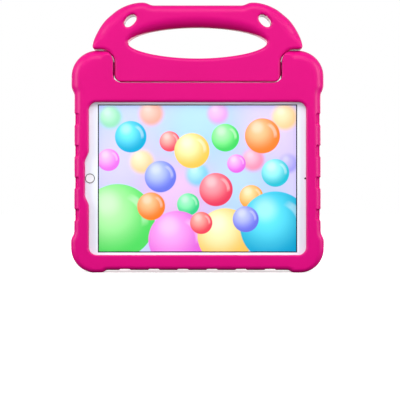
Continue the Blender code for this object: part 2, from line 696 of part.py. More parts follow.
def tablet_tray():
    """Metal back shell of the tablet, with pockets for its display, key, cameras and port."""
    outline = rounded_box((0, TABLET_MIDDLE), TABLET_WIDTH, TABLET_HEIGHT, TABLET_CORNER)
    tray = plate("tablet_tray", outline, TRAY_FRONT, TRAY_BACK, 0, TRAY_EDGE, ALUMINIUM)
    pocket = rounded_box((0, TABLET_MIDDLE), DISPLAY_WIDTH + 2 * FIT, DISPLAY_HEIGHT + 2 * FIT, FIT)
    button = (BUTTON_X, 0, TABLET_MIDDLE)
    key_floor = GLASS_FRONT + TRACE + BUTTON_THICKNESS + BUTTON_TRAVEL + FIT
    camera = (CAMERA_X, 0, CAMERA_Z)
    socket = plate("cut_socket", port_outline(PORT_HEIGHT + 2 * FIT, PORT_LENGTH + 2 * FIT),
                   TABLET_WIDTH / 2 - PORT_DEPTH - FIT, TABLET_WIDTH / 2 + OVERSHOOT, 0, 0)
    combine(tray, [
        plate("cut_display_pocket", pocket, TRAY_FRONT - OVERSHOOT,
              TRAY_FRONT + DISPLAY_THICKNESS + 2 * TRACE, 0, 0),
        disc("cut_key_pocket", button, (0, 1, 0), BUTTON_BORE, TRAY_FRONT - OVERSHOOT, key_floor),
        disc("cut_camera_pocket", camera, (0, 1, 0), REAR_CAMERA_RADIUS + REAR_CAMERA_RING + 2 * FIT,
             TRAY_BACK - REAR_CAMERA_SINK - FIT, TRAY_BACK + OVERSHOOT),
        sideways(socket),
    ])
    return tray


def tablet_glass():
    """Cover glass, with holes for the home key and the front camera."""
    outline = rounded_box((0, TABLET_MIDDLE), TABLET_WIDTH, TABLET_HEIGHT, TABLET_CORNER)
    glass = plate("tablet_glass", outline, GLASS_FRONT, GLASS_BACK, 0, 0, WHITE_GLASS)
    camera = (TABLET_WIDTH / 2 - FRONT_CAMERA_INSET, 0, TABLET_MIDDLE)
    combine(glass, [
        disc("cut_key_hole", (BUTTON_X, 0, TABLET_MIDDLE), (0, 1, 0), BUTTON_BORE,
             FRONT, TRAY_FRONT + OVERSHOOT),
        disc("cut_front_camera_hole", camera, (0, 1, 0), FRONT_CAMERA_RADIUS + FIT / 2,
             FRONT, TRAY_FRONT + OVERSHOOT),
    ])
    return glass


def display_panel():
    """Display in its pocket, under the cover glass."""
    outline = rounded_box((0, TABLET_MIDDLE), DISPLAY_WIDTH, DISPLAY_HEIGHT, FIT)
    return plate("display_panel", outline, TRAY_FRONT, TRAY_FRONT + DISPLAY_THICKNESS, 0, 0, DISPLAY)


def home_key():
    """Round key and the metal ring round it, which are pressed in together."""
    centre = (BUTTON_X, 0, TABLET_MIDDLE)
    start = GLASS_FRONT + TRACE
    end = start + BUTTON_THICKNESS
    key = disc("home_button", centre, (0, 1, 0), BUTTON_RADIUS, start, end, WHITE_GLASS, TRACE)
    inner = BUTTON_RADIUS + FIT
    trim = ring("home_ring", centre, (0, 1, 0), inner, inner + BUTTON_RING, start, end, RING_METAL)
    for piece in (key, trim):
        place_origin(piece, (BUTTON_X, start, TABLET_MIDDLE))
    return [key, trim]


def front_camera():
    """Small lens in the right border of the glass."""
    centre = (TABLET_WIDTH / 2 - FRONT_CAMERA_INSET, 0, TABLET_MIDDLE)
    return disc("front_camera", centre, (0, 1, 0), FRONT_CAMERA_RADIUS, GLASS_FRONT + TRACE,
                GLASS_BACK, DARK_GLASS)


def rear_camera():
    """Rear lens and its ring, which stand a little proud of the tray."""
    centre = (CAMERA_X, 0, CAMERA_Z)
    base = TRAY_BACK - REAR_CAMERA_SINK
    crown = TRAY_BACK + REAR_CAMERA_RISE
    inner = REAR_CAMERA_RADIUS + FIT
    lens = disc("rear_camera_lens", centre, (0, 1, 0), REAR_CAMERA_RADIUS, base, crown - FIT, DARK_GLASS)
    trim = ring("rear_camera_ring", centre, (0, 1, 0), inner, inner + REAR_CAMERA_RING,
                base, crown, RING_METAL)
    return [lens, trim]


def port_socket():
    """Charging socket in the left edge of the tray, open to the outside."""
    mouth = port_outline(PORT_HEIGHT - 2 * PORT_WALL, PORT_LENGTH - 2 * PORT_WALL)
    edge = TABLET_WIDTH / 2
    socket = plate("port_socket", port_outline(PORT_HEIGHT, PORT_LENGTH), edge - PORT_DEPTH, edge - TRACE,
                   0, 0, DARK_PLASTIC)
    hollow = plate("cut_port_mouth", mouth, edge - PORT_DEPTH + 2 * PORT_WALL, edge + OVERSHOOT, 0, 0)
    combine(sideways(socket), [sideways(hollow)])
    return socket


def main():
    """Build every piece of the case and its tablet."""
    for old in list(bpy.data.objects):
        bpy.data.objects.remove(old)
    case_shell()
    handle()
    pivot_pin("pivot_pin_left", -1)
    pivot_pin("pivot_pin_right", 1)
    tablet_tray()
    tablet_glass()
    display_panel()
    home_key()
    front_camera()
    rear_camera()
    port_socket()


main()
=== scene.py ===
"""Looks of a shockproof foam tablet case: a moulded shell and folding handle round a tablet."""
import json
import logging
import math
from collections.abc import Callable, Sequence
from dataclasses import dataclass
from enum import Enum

import bmesh
import bpy
from mathutils import Matrix, Vector

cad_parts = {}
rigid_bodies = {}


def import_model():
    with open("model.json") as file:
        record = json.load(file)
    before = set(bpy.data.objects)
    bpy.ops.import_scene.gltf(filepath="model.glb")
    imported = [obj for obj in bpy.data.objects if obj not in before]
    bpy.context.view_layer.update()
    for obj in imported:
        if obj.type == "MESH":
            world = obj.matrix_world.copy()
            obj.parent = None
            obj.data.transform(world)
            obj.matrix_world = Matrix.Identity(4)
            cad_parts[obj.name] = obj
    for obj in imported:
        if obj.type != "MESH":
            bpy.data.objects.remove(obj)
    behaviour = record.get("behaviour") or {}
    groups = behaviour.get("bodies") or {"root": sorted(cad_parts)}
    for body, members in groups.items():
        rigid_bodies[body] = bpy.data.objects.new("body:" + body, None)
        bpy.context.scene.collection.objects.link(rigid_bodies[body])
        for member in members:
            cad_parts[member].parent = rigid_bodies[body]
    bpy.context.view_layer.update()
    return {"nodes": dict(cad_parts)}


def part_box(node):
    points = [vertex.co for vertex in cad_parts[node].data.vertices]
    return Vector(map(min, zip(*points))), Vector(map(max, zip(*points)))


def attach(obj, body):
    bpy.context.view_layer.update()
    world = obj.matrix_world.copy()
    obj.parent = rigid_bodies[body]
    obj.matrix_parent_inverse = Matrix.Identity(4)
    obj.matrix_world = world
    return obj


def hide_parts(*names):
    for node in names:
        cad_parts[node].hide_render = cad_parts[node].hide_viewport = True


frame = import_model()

LOG = logging.getLogger("tablet_case")

MM = 0.001
ARC_STEP = math.radians(5)
RIM_STEPS = 8
OVERSHOOT = 4 * MM
SMALL_CIRCLE = 24
ROUND_CIRCLE = 48
TURNED_CIRCLE = 64
FINE_CIRCLE = 96
CRISP_ANGLE = 40.0
TURNED_ANGLE = 30.0
WELD = 1e-6

# Corner radius of a slot's outline as a share of its width, just short of full half circles.
FULL_ROUND = 0.46

# Profile of a bevel that gives a circular arc.
ARC_PROFILE = 0.5

Thing = bpy.types.Object
Material = bpy.types.Material
Tree = bpy.types.NodeTree
Node = bpy.types.Node
Socket = bpy.types.NodeSocket
Face = bmesh.types.BMFace
BMesh = bmesh.types.BMesh
Pair = tuple[float, float]
Inputs = dict[str | int, object]
Rim = Callable[[float, float], float] | float


class Side(Enum):
    """The two sides of the object, as seen from the front."""

    LEFT = -1
    RIGHT = 1


class Cut(Enum):
    """How a shape acts on the solid it meets."""

    AWAY = "DIFFERENCE"
    ON = "UNION"


@dataclass(frozen=True)
class Corner:
    """Corner of an outline in the XZ plane, in metres, with its rounding radius."""

    x: float
    z: float
    radius: float = 0.0


def mirrored(half: Sequence[Corner]) -> list[Corner]:
    """Corners of both sides, from those of the right side listed anticlockwise."""
    return [*half, *(Corner(-c.x, c.z, c.radius) for c in reversed(half))]


def rounded_box(x: float, z: float, width: float, height: float, radius: float) -> list[Corner]:
    """Corners of a rectangle about a middle, anticlockwise."""
    w, h = width / 2, height / 2
    return [Corner(x + a * w, z + b * h, radius) for a, b in ((-1, -1), (1, -1), (1, 1), (-1, 1))]


def lens(x: float, z: float, half: Pair, power: float, turn: float = 0.0,
         count: int = 120) -> list[Vector]:
    """Points of an oval about a middle, anticlockwise.

    Args:
        x: place of the middle across.
        z: height of the middle.
        half: half width and half height.
        power: 2 for an ellipse, less for finer tips, more for fuller ends.
        turn: angle that the oval is turned by, anticlockwise.
        count: number of points.

    Returns:
        The points.
    """
    points = []
    for k in range(count):
        c, s = math.cos(math.tau * k / count), math.sin(math.tau * k / count)
        u = half[0] * math.copysign(abs(c) ** (2 / power), c)
        w = half[1] * math.copysign(abs(s) ** (2 / power), s)
        points.append(Vector((x + u * math.cos(turn) - w * math.sin(turn), 0.0,
                              z + u * math.sin(turn) + w * math.cos(turn))))
    return points


def ease(t: float) -> float:
    """Smooth rise from 0 to 1 as t runs from 0 to 1."""
    t = min(max(t, 0.0), 1.0)
    return t * t * (3 - 2 * t)


def mix(a: float, b: float, t: float) -> float:
    """Value between a and b."""
    return a + (b - a) * t


def crisp(mesh: bpy.types.Mesh, angle: float = CRISP_ANGLE) -> None:
    """Shades a mesh smooth, with edges sharper than an angle in degrees kept crisp."""
    mesh.shade_smooth()
    mesh.set_sharp_from_angle(angle=math.radians(angle))


def add_object(name: str, bm: BMesh, angle: float = CRISP_ANGLE) -> Thing:
    """Makes an object of a bmesh, with its normals outwards.

    Args:
        name: name of the object and its mesh.
        bm: the shape, which is freed.
        angle: edges sharper than this, in degrees, stay crisp.

    Returns:
        The new object, linked to the scene.
    """
    bmesh.ops.remove_doubles(bm, verts=bm.verts, dist=WELD)
    bmesh.ops.recalc_face_normals(bm, faces=bm.faces)
    mesh = bpy.data.meshes.new(name)
    bm.to_mesh(mesh)
    bm.free()
    crisp(mesh, angle)
    made = bpy.data.objects.new(name, mesh)
    bpy.context.scene.collection.objects.link(made)
    return made


def outline_face(bm: BMesh, corners: Sequence[Corner]) -> Face:
    """Makes a flat face of an outline, each corner rounded by a vertex bevel.

    Args:
        bm: bmesh that takes the face.
        corners: the outline's corners, anticlockwise as seen from -Y.

    Returns:
        The face.
    """
    verts = [bm.verts.new((c.x, 0.0, c.z)) for c in corners]
    bm.faces.new(verts)
    for i, (corner, vert) in enumerate(zip(corners, verts)):
        if corner.radius <= 0:
            continue
        before = Vector((corners[i - 1].x - corner.x, corners[i - 1].z - corner.z))
        after_corner = corners[(i + 1) % len(corners)]
        after = Vector((after_corner.x - corner.x, after_corner.z - corner.z))
        inside = before.angle(after)
        bmesh.ops.bevel(bm, geom=[vert], offset=corner.radius / math.tan(inside / 2), offset_type="OFFSET",
                        segments=max(2, math.ceil((math.pi - inside) / ARC_STEP)), profile=ARC_PROFILE,
                        affect="VERTICES", material=-1)
    bm.faces.ensure_lookup_table()
    return bm.faces[0]


class Slab:
    """Plate grown from an outline face, with its edges rounded over or flared."""

    def __init__(self, corners: Sequence[Corner] = (), points: Sequence[Vector] = (),
                 grow: float = 0.0) -> None:
        """Starts from rounded corners, or from ready outline points.

        Args:
            corners: corners of the outline, anticlockwise as seen from -Y.
            points: outline points instead of corners.
            grow: how far the outline is moved outwards.
        """
        self.bm = bmesh.new()
        if corners:
            self.cap = outline_face(self.bm, corners)
        else:
            self.cap = self.bm.faces.new([self.bm.verts.new(p) for p in points])
        self.order = self.bm.verts.layers.int.new("order")
        self.outline = [vert.co.copy() for vert in self.cap.verts]
        for i, vert in enumerate(self.cap.verts):
            vert[self.order] = i
        self.inward = self._inward()
        self.outline = [p - d * grow for p, d in zip(self.outline, self.inward)]

    def _inward(self) -> list[Vector]:
        """Finds the direction at each outline point that moves both of its edges in by one unit.

        Returns:
            The directions.
        """
        result = []
        count = len(self.outline)
        for i, point in enumerate(self.outline):
            a = (point - self.outline[i - 1]).normalized()
            b = (self.outline[(i + 1) % count] - point).normalized()
            normal = Vector((-a.z, 0.0, a.x))
            middle = (normal + Vector((-b.z, 0.0, b.x))).normalized()
            result.append(middle / middle.dot(normal))
        return result

    def _place(self, cap: Face, insets: Sequence[float], depths: Sequence[float]) -> None:
        """Puts a cap's points in their places.

        Args:
            cap: the cap.
            insets: how far each outline point moves inwards.
            depths: depth of each outline point.
        """
        for vert in cap.verts:
            i = vert[self.order]
            vert.co = self.outline[i] + self.inward[i] * insets[i]
            vert.co.y = depths[i]

    def _extrude(self, cap: Face, keep: bool = False) -> Face:
        """Extrudes a cap.

        Args:
            cap: the cap to extrude.
            keep: whether it stays, as the far side's cap; else it is deleted.

        Returns:
            The new cap.
        """
        grown = bmesh.ops.extrude_face_region(self.bm, geom=[cap])["geom"]
        if not keep:
            bmesh.ops.delete(self.bm, geom=[cap], context="FACES_ONLY")
        return next(item for item in grown if isinstance(item, Face))

    def _rim(self, cap: Face, plane: float, way: int, rim: Rim) -> None:
        """Carries a cap out to a plane through the rings of its edge.

        Args:
            cap: the cap to carry.
            plane: depth of the finished face.
            way: -1 towards the front, 1 towards the back.
            rim: edge radius, or a function of x and z that gives it; negative flares outwards.
        """
        radii = [rim(p.x, p.z) if callable(rim) else rim for p in self.outline]
        still = [0.0] * len(radii)
        if not any(radii):
            self._place(cap, still, [plane] * len(radii))
            return
        self._place(cap, still, [plane - way * abs(r) for r in radii])
        for k in range(1, RIM_STEPS + 1):
            angle = math.pi / 2 * k / RIM_STEPS
            cap = self._extrude(cap)
            self._place(cap, [r * (1 - math.cos(angle)) for r in radii],
                        [plane - way * abs(r) * (1 - math.sin(angle)) for r in radii])
        if max(radii) < 0:
            cap = self._extrude(cap)
            self._place(cap, radii, [plane + way * OVERSHOOT] * len(radii))

    def between(self, name: str, front: float, back: float, front_rim: Rim = 0.0,
                back_rim: Rim = 0.0) -> Thing:
        """Finishes the plate between two planes.

        Args:
            name: name of the object.
            front: depth of the front face.
            back: depth of the back face.
            front_rim: radius of the front edge.
            back_rim: radius of the back edge.

        Returns:
            The plate as an object.
        """
        far = self._extrude(self.cap, keep=True)
        self._rim(self.cap, front, -1, front_rim)
        self._rim(far, back, 1, back_rim)
        return add_object(name, self.bm)


def rod(name: str, centre: Sequence[float], axis: str, radius: float, start: float, end: float,
        segments: int = ROUND_CIRCLE) -> Thing:
    """Round bar along an axis.

    Args:
        name: name of the object.
        centre: point of the axis where start and end are counted from.
        axis: "X" or "Y".
        radius: its radius.
        start: where it begins along the axis.
        end: where it ends.
        segments: sides of its circle.

    Returns:
        The bar as an object.
    """
    turn = Matrix.Rotation(math.pi / 2, 4, "Y" if axis == "X" else "X")
    middle = Vector(centre)
    middle["XY".index(axis)] += (start + end) / 2
    bm = bmesh.new()
    bmesh.ops.create_cone(bm, cap_ends=True, segments=segments, radius1=radius, radius2=radius,
                          depth=abs(end - start), matrix=Matrix.Translation(middle) @ turn)
    return add_object(name, bm)


def turned(name: str, profile: Sequence[Pair], centre: Sequence[float], axis: str,
           steps: int = TURNED_CIRCLE) -> Thing:
    """Solid of revolution about an axis.

    Args:
        name: name of the object.
        profile: (along, radius) points of the section.
        centre: point of the axis where the section starts.
        axis: "X" or "Y".
        steps: sides of its circle.

    Returns:
        The solid as an object.
    """
    along = Vector((1, 0, 0)) if axis == "X" else Vector((0, 1, 0))
    out = Vector((0, 0, 1))
    bm = bmesh.new()
    verts = [bm.verts.new(Vector(centre) + along * a + out * r) for a, r in profile]
    edges = [bm.edges.new(pair) for pair in zip(verts, verts[1:])]
    bmesh.ops.spin(bm, geom=verts + edges, cent=centre, axis=along, dvec=(0, 0, 0), angle=math.tau,
                   steps=steps, use_merge=True, use_duplicate=False)
    return add_object(name, bm, TURNED_ANGLE)


def carve(target: Thing, shapes: Sequence[Thing], cut: Cut = Cut.AWAY) -> None:
    """Cuts shapes out of a solid, or joins them to it, and removes them.

    Args:
        target: the solid.
        shapes: the shapes that act on it.
        cut: whether they are cut away or joined on.
    """
    group = bpy.data.collections.new(f"{target.name}_{cut.name}")
    bpy.context.scene.collection.children.link(group)
    for shape in shapes:
        bpy.context.scene.collection.objects.unlink(shape)
        group.objects.link(shape)
    step = target.modifiers.new(cut.name, "BOOLEAN")
    step.operation = cut.value
    step.solver = "EXACT"
    step.operand_type = "COLLECTION"
    step.collection = group
    settle(target)
    for shape in list(group.objects):
        bpy.data.objects.remove(shape)
    bpy.data.collections.remove(group)


def settle(target: Thing) -> None:
    """Turns an object's live modifiers into its mesh.

    Args:
        target: the object.
    """
    bpy.context.view_layer.update()
    evaluated = target.evaluated_get(bpy.context.evaluated_depsgraph_get())
    mesh = bpy.data.meshes.new_from_object(evaluated)
    old = target.data
    target.modifiers.clear()
    target.data = mesh
    bpy.data.meshes.remove(old)
    mesh.name = target.name


def soften(target: Thing, voxel: float, passes: int, most: int) -> None:
    """Gives a solid the soft edges of moulded foam.

    Args:
        target: the solid.
        voxel: size of the even mesh that it is laid over with.
        passes: rounds of smoothing.
        most: number of triangles that it may keep.
    """
    remesh = target.modifiers.new("Even", "REMESH")
    remesh.mode = "VOXEL"
    remesh.voxel_size = voxel * 1
    smooth = target.modifiers.new("Soft", "SMOOTH")
    smooth.iterations = passes
    settle(target)
    thin = target.modifiers.new("Thin", "DECIMATE")
    thin.ratio = min(1.0, most / (2 * len(target.data.polygons)))
    settle(target)
    target.data.shade_smooth()


def place(piece: Thing, body: str, slot: str, material: Material, *stands_for: str) -> Thing:
    """Dresses a new piece and fixes it to its body.

    Args:
        piece: the piece.
        body: CAD body that it rides on.
        slot: material slot of the record; not used.
        material: its finish.
        stands_for: CAD nodes that it replaces.

    Returns:
        The piece.
    """
    piece.data.materials.clear()
    piece.data.materials.append(material)
    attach(piece, body)
    if stands_for:
        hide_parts(*stands_for)
    LOG.info("%s rides on %s, %d triangles", piece.name, body,
             sum(len(p.vertices) - 2 for p in piece.data.polygons))
    return piece


def linear(hex_colour: str) -> tuple[float, float, float, float]:
    """Turns an sRGB hex colour to linear RGBA.

    Args:
        hex_colour: the colour, as "#RRGGBB".

    Returns:
        The linear colour, with an alpha of 1.
    """
    channels = [int(hex_colour[i:i + 2], 16) / 255 for i in (1, 3, 5)]
    r, g, b = (c / 12.92 if c <= 0.04045 else ((c + 0.055) / 1.055) ** 2.4 for c in channels)
    return (r, g, b, 1.0)


def feed(tree: Tree, node: Node, inputs: Inputs) -> None:
    """Links or sets a node's inputs.

    Args:
        tree: node tree that holds the node.
        node: the node.
        inputs: socket, hex colour or value for each input, by name or number.
    """
    for key, value in inputs.items():
        if isinstance(value, Socket):
            tree.links.new(value, node.inputs[key])
        else:
            node.inputs[key].default_value = linear(value) if isinstance(value, str) else value


def add_node(tree: Tree, kind: str, inputs: Inputs | None = None, **settings: object) -> Node:
    """Adds a node with its settings and links.

    Args:
        tree: node tree of the material or world.
        kind: the node's type, without its ShaderNode prefix.
        inputs: socket, hex colour or value for each input, by name or number.
        settings: the node's own settings.

    Returns:
        The node.
    """
    node = tree.nodes.new("ShaderNode" + kind)
    for name, value in settings.items():
        setattr(node, name, value)
    feed(tree, node, inputs or {})
    return node


def new_material(name: str) -> tuple[Material, Tree, Node]:
    """Starts a material.

    Args:
        name: its name.

    Returns:
        The material, its node tree and its Principled shader.
    """
    material = bpy.data.materials.new(name)
    material.use_nodes = True
    tree = material.node_tree
    return material, tree, tree.nodes["Principled BSDF"]


@dataclass(frozen=True)
class MouldedFoam:
    """EVA foam, compression moulded: a satin skin over closed cells, with a fine matte grain."""

    # The heated mould presses a closed skin on the foam: flat faces stay even and satin, and rims
    # carry broad soft lights. The cells show as a faint grain, drawn at 1.1 mm where the real ones
    # are near 0.2 mm, and the pigment drifts a little over 45 mm.

    name: str = "eva_foam_moulded"
    colour: str = "#CD0375"
    cloud: str = "#C4026F"
    cloud_size: float = 45 * MM
    cloud_detail: float = 3.0
    grain_size: float = 1.1 * MM
    grain_detail: float = 2.0
    grain_height: float = 0.04 * MM
    roughness: float = 0.36
    roughness_spread: Pair = (-0.05, 0.07)
    gloss: float = 0.17
    sheen: float = 0.03
    sheen_roughness: float = 0.5
    sheen_tint: str = "#FFB4DC"

    def material(self) -> Material:
        """Builds the foam's material.

        Returns:
            The material.
        """
        material, tree, shader = new_material(self.name)
        place_at = add_node(tree, "TexCoord").outputs["Object"]
        cloud = add_node(tree, "TexNoise", {"Vector": place_at, "Scale": 1 / self.cloud_size,
                                            "Detail": self.cloud_detail})
        grain = add_node(tree, "TexNoise", {"Vector": place_at, "Scale": 1 / self.grain_size,
                                            "Detail": self.grain_detail})
        tint = add_node(tree, "Mix", {0: cloud.outputs["Fac"], 6: self.colour, 7: self.cloud},
                        data_type="RGBA")
        low, high = (self.roughness + spread for spread in self.roughness_spread)
        rough = add_node(tree, "MapRange", {"Value": grain.outputs["Fac"], "To Min": low, "To Max": high})
        bump = add_node(tree, "Bump", {"Height": grain.outputs["Fac"], "Distance": self.grain_height})
        feed(tree, shader, {"Base Color": tint.outputs[2], "Roughness": rough.outputs["Result"],
                            "Normal": bump.outputs["Normal"], "Specular IOR Level": self.gloss,
                            "Sheen Weight": self.sheen, "Sheen Roughness": self.sheen_roughness,
                            "Sheen Tint": self.sheen_tint})
        return material


@dataclass(frozen=True)
class Bubble:
    """Soft-shaded ball of the screen picture, in millimetres from the screen's middle."""

    x: float
    z: float
    radius: float
    light: str
    deep: str
    blur: float = 0.03
    cover: float = 1.0
    gleam: float = 0.24


@dataclass(frozen=True)
class PrintedGlass:
    """Polished cover glass: a white printed border round a lit picture of soft bubbles."""

    # Float glass, ground and polished, so that it mirrors sharply; the border is screen printed in
    # white behind it, and the display's own light gives the picture its even glow.

    name: str = "cover_glass_printed"
    border: str = "#EAEFFB"
    outline: str = "#20232B"
    sky: str = "#B9CCFF"
    mist: str = "#CBC6F8"
    outline_width: float = 1.2 * MM
    middle: tuple[float, float, float] = (0.0, 0.0, 0.0)
    half_width: float = 0.1
    half_height: float = 0.08
    bubbles: tuple[Bubble, ...] = ()
    roughness: float = 0.08
    glow: float = 0.03

    # Places and reaches of a bubble's lights, in shares of its radius.
    lit_at: Pair = (-0.25, 0.3)
    lit_reach: Pair = (0.1, 1.25)
    gleam_at: Pair = (-0.3, 0.5)
    gleam_reach: Pair = (0.5, 0.1)
    arc_at: Pair = (0.62, 0.34)
    arc_reach: Pair = (0.5, 0.3)
    arc_inner: Pair = (0.62, 0.68)
    arc_outer: Pair = (0.86, 0.8)

    def material(self) -> Material:
        """Builds the glass's material.

        Returns:
            The material.
        """
        material, tree, shader = new_material(self.name)
        place_at = add_node(tree, "TexCoord").outputs["Object"]
        centred = add_node(tree, "Mapping", {"Vector": place_at, "Location": [-c for c in self.middle]})
        flat = add_node(tree, "VectorMath", {0: centred.outputs[0], 1: (1, 0, 1)}, operation="MULTIPLY")
        axes = add_node(tree, "SeparateXYZ", {0: flat.outputs[0]})
        across = add_node(tree, "MapRange", {"Value": axes.outputs["X"], "From Min": -self.half_width,
                                             "From Max": self.half_width})
        ground = add_node(tree, "Mix", {0: across.outputs[0], 6: self.sky, 7: self.mist}, data_type="RGBA")
        picture = ground.outputs[2]
        for bubble in self.bubbles:
            picture = self._bubble(tree, flat.outputs[0], picture, bubble)
        inner = self._inside(tree, axes, -self.outline_width / 2)
        outer = self._inside(tree, axes, self.outline_width / 2)
        edged = add_node(tree, "Mix", {0: outer, 6: self.border, 7: self.outline}, data_type="RGBA")
        shown = add_node(tree, "Mix", {0: inner, 6: edged.outputs[2], 7: picture}, data_type="RGBA")
        glow = add_node(tree, "Mix", {0: inner, 6: "#000000", 7: picture}, data_type="RGBA")
        feed(tree, shader, {"Base Color": shown.outputs[2], "Roughness": self.roughness,
                            "Emission Color": glow.outputs[2], "Emission Strength": self.glow})
        return material

    def _inside(self, tree: Tree, axes: Node, grow: float) -> Socket:
        """Makes a mask that is 1 inside the display area.

        Args:
            tree: node tree of the material.
            axes: node that gives the place on the glass by axis.
            grow: margin that the area grows by.

        Returns:
            The mask.
        """
        reach = []
        for axis, half in (("X", self.half_width), ("Z", self.half_height)):
            size = add_node(tree, "Math", {0: axes.outputs[axis]}, operation="ABSOLUTE")
            near = add_node(tree, "Math", {0: size.outputs[0], 1: half + grow}, operation="LESS_THAN")
            reach.append(near.outputs[0])
        return add_node(tree, "Math", {0: reach[0], 1: reach[1]}, operation="MULTIPLY").outputs[0]

    @staticmethod
    def _reach(tree: Tree, point: Socket, bubble: Bubble, at: Pair = (0.0, 0.0)) -> Socket:
        """Measures how far a place on the glass is from a point of a bubble.

        Args:
            tree: node tree of the material.
            point: place on the glass.
            bubble: the bubble.
            at: the bubble's point, in shares of its radius from its middle.

        Returns:
            The distance.
        """
        x, z = bubble.x + at[0] * bubble.radius, bubble.z + at[1] * bubble.radius
        away = add_node(tree, "VectorMath", {0: point, 1: (x * MM, 0, z * MM)}, operation="DISTANCE")
        return away.outputs["Value"]

    def _bubble(self, tree: Tree, point: Socket, under: Socket, bubble: Bubble) -> Socket:
        """Lays one soft-shaded bubble over the picture.

        Args:
            tree: node tree of the material.
            point: place on the glass.
            under: picture so far.
            bubble: the bubble.

        Returns:
            The picture with the bubble.
        """
        away = self._reach(tree, point, bubble)
        lit = self._reach(tree, point, bubble, self.lit_at)
        spark = self._reach(tree, point, bubble, self.gleam_at)
        edge = (1 + bubble.blur, 1 - bubble.blur)
        levels = []
        for value, (start, end), most in ((away, edge, bubble.cover), (lit, self.lit_reach, 1.0),
                                          (spark, self.gleam_reach, bubble.gleam)):
            level = add_node(tree, "MapRange", {"Value": value, "From Min": start * bubble.radius * MM,
                                                "From Max": end * bubble.radius * MM, "To Max": most},
                             interpolation_type="SMOOTHSTEP")
            levels.append(level.outputs[0])
        mask, depth, gleam = levels
        shade = add_node(tree, "Mix", {0: depth, 6: bubble.light, 7: bubble.deep}, data_type="RGBA")
        glossy = add_node(tree, "Mix", {0: gleam, 6: shade.outputs[2], 7: "#FFFFFF"}, data_type="RGBA")
        if bubble.cover >= 1.0:
            glossy = self._arc(tree, point, away, glossy.outputs[2], bubble)
        over = add_node(tree, "Mix", {0: mask, 6: under, 7: glossy.outputs[2]}, data_type="RGBA")
        return over.outputs[2]

    def _arc(self, tree: Tree, point: Socket, away: Socket, under: Socket, bubble: Bubble) -> Node:
        """Draws the curved light near a bubble's upper right edge.

        Args:
            tree: node tree of the material.
            point: place on the glass.
            away: distance from the bubble's middle.
            under: the bubble's colour so far.
            bubble: the bubble.

        Returns:
            The node that holds the bubble with its light.
        """
        side = self._reach(tree, point, bubble, self.arc_at)
        light = bubble.gleam
        for value, (start, end) in ((away, self.arc_inner), (away, self.arc_outer), (side, self.arc_reach)):
            part = add_node(tree, "MapRange", {"Value": value, "From Min": start * bubble.radius * MM,
                                               "From Max": end * bubble.radius * MM})
            light = add_node(tree, "Math", {0: light, 1: part.outputs[0]}, operation="MULTIPLY").outputs[0]
        return add_node(tree, "Mix", {0: light, 6: under, 7: "#FFFFFF"}, data_type="RGBA")


@dataclass(frozen=True)
class PlainFinish:
    """Finish of one colour with a fine grain in its gloss and surface."""

    # How each surface is made, and what that gives the eye, stands beside its entry in FINISHES.

    name: str
    colour: str
    roughness: float
    metallic: float = 0.0
    grain_size: float = 0.8 * MM
    grain_height: float = 0.01 * MM
    spread: float = 0.08
    least_roughness: float = 0.02
    grain_detail: float = 2.0

    def material(self) -> Material:
        """Builds the material.

        Returns:
            The material.
        """
        material, tree, shader = new_material(self.name)
        place_at = add_node(tree, "TexCoord").outputs["Object"]
        grain = add_node(tree, "TexNoise", {"Vector": place_at, "Scale": 1 / self.grain_size,
                                            "Detail": self.grain_detail})
        rough = add_node(tree, "MapRange", {"Value": grain.outputs["Fac"],
                                            "To Min": max(self.least_roughness,
                                                          self.roughness - self.spread / 2),
                                            "To Max": self.roughness + self.spread / 2})
        bump = add_node(tree, "Bump", {"Height": grain.outputs["Fac"], "Distance": self.grain_height})
        feed(tree, shader, {"Base Color": self.colour, "Metallic": self.metallic,
                            "Roughness": rough.outputs[0], "Normal": bump.outputs["Normal"]})
        return material


@dataclass
class Layout:
    """Sizes that several mouldings share, in metres."""

    case_half: float = 133.1 * MM
    bulge: float = 3.4 * MM
    recess_floor: float = 204.6 * MM
    recess_half: float = 90.9 * MM
    tab_half: float = 89.8 * MM
    tab_drop: float = 14.6 * MM
    pivot: float = 220.3 * MM
    arm_half: float = 113.6 * MM
    arm_underside: float = 240.9 * MM
    handle_top: float = 291.8 * MM
    handle_depth: float = 28.0 * MM
    front: float = -15.0 * MM
    back: float = 15.0 * MM
    margin: float = 14.4 * MM
    sweep_gap: float = 0.6 * MM
    fold: float = math.radians(100)
    fit: float = 0.3 * MM


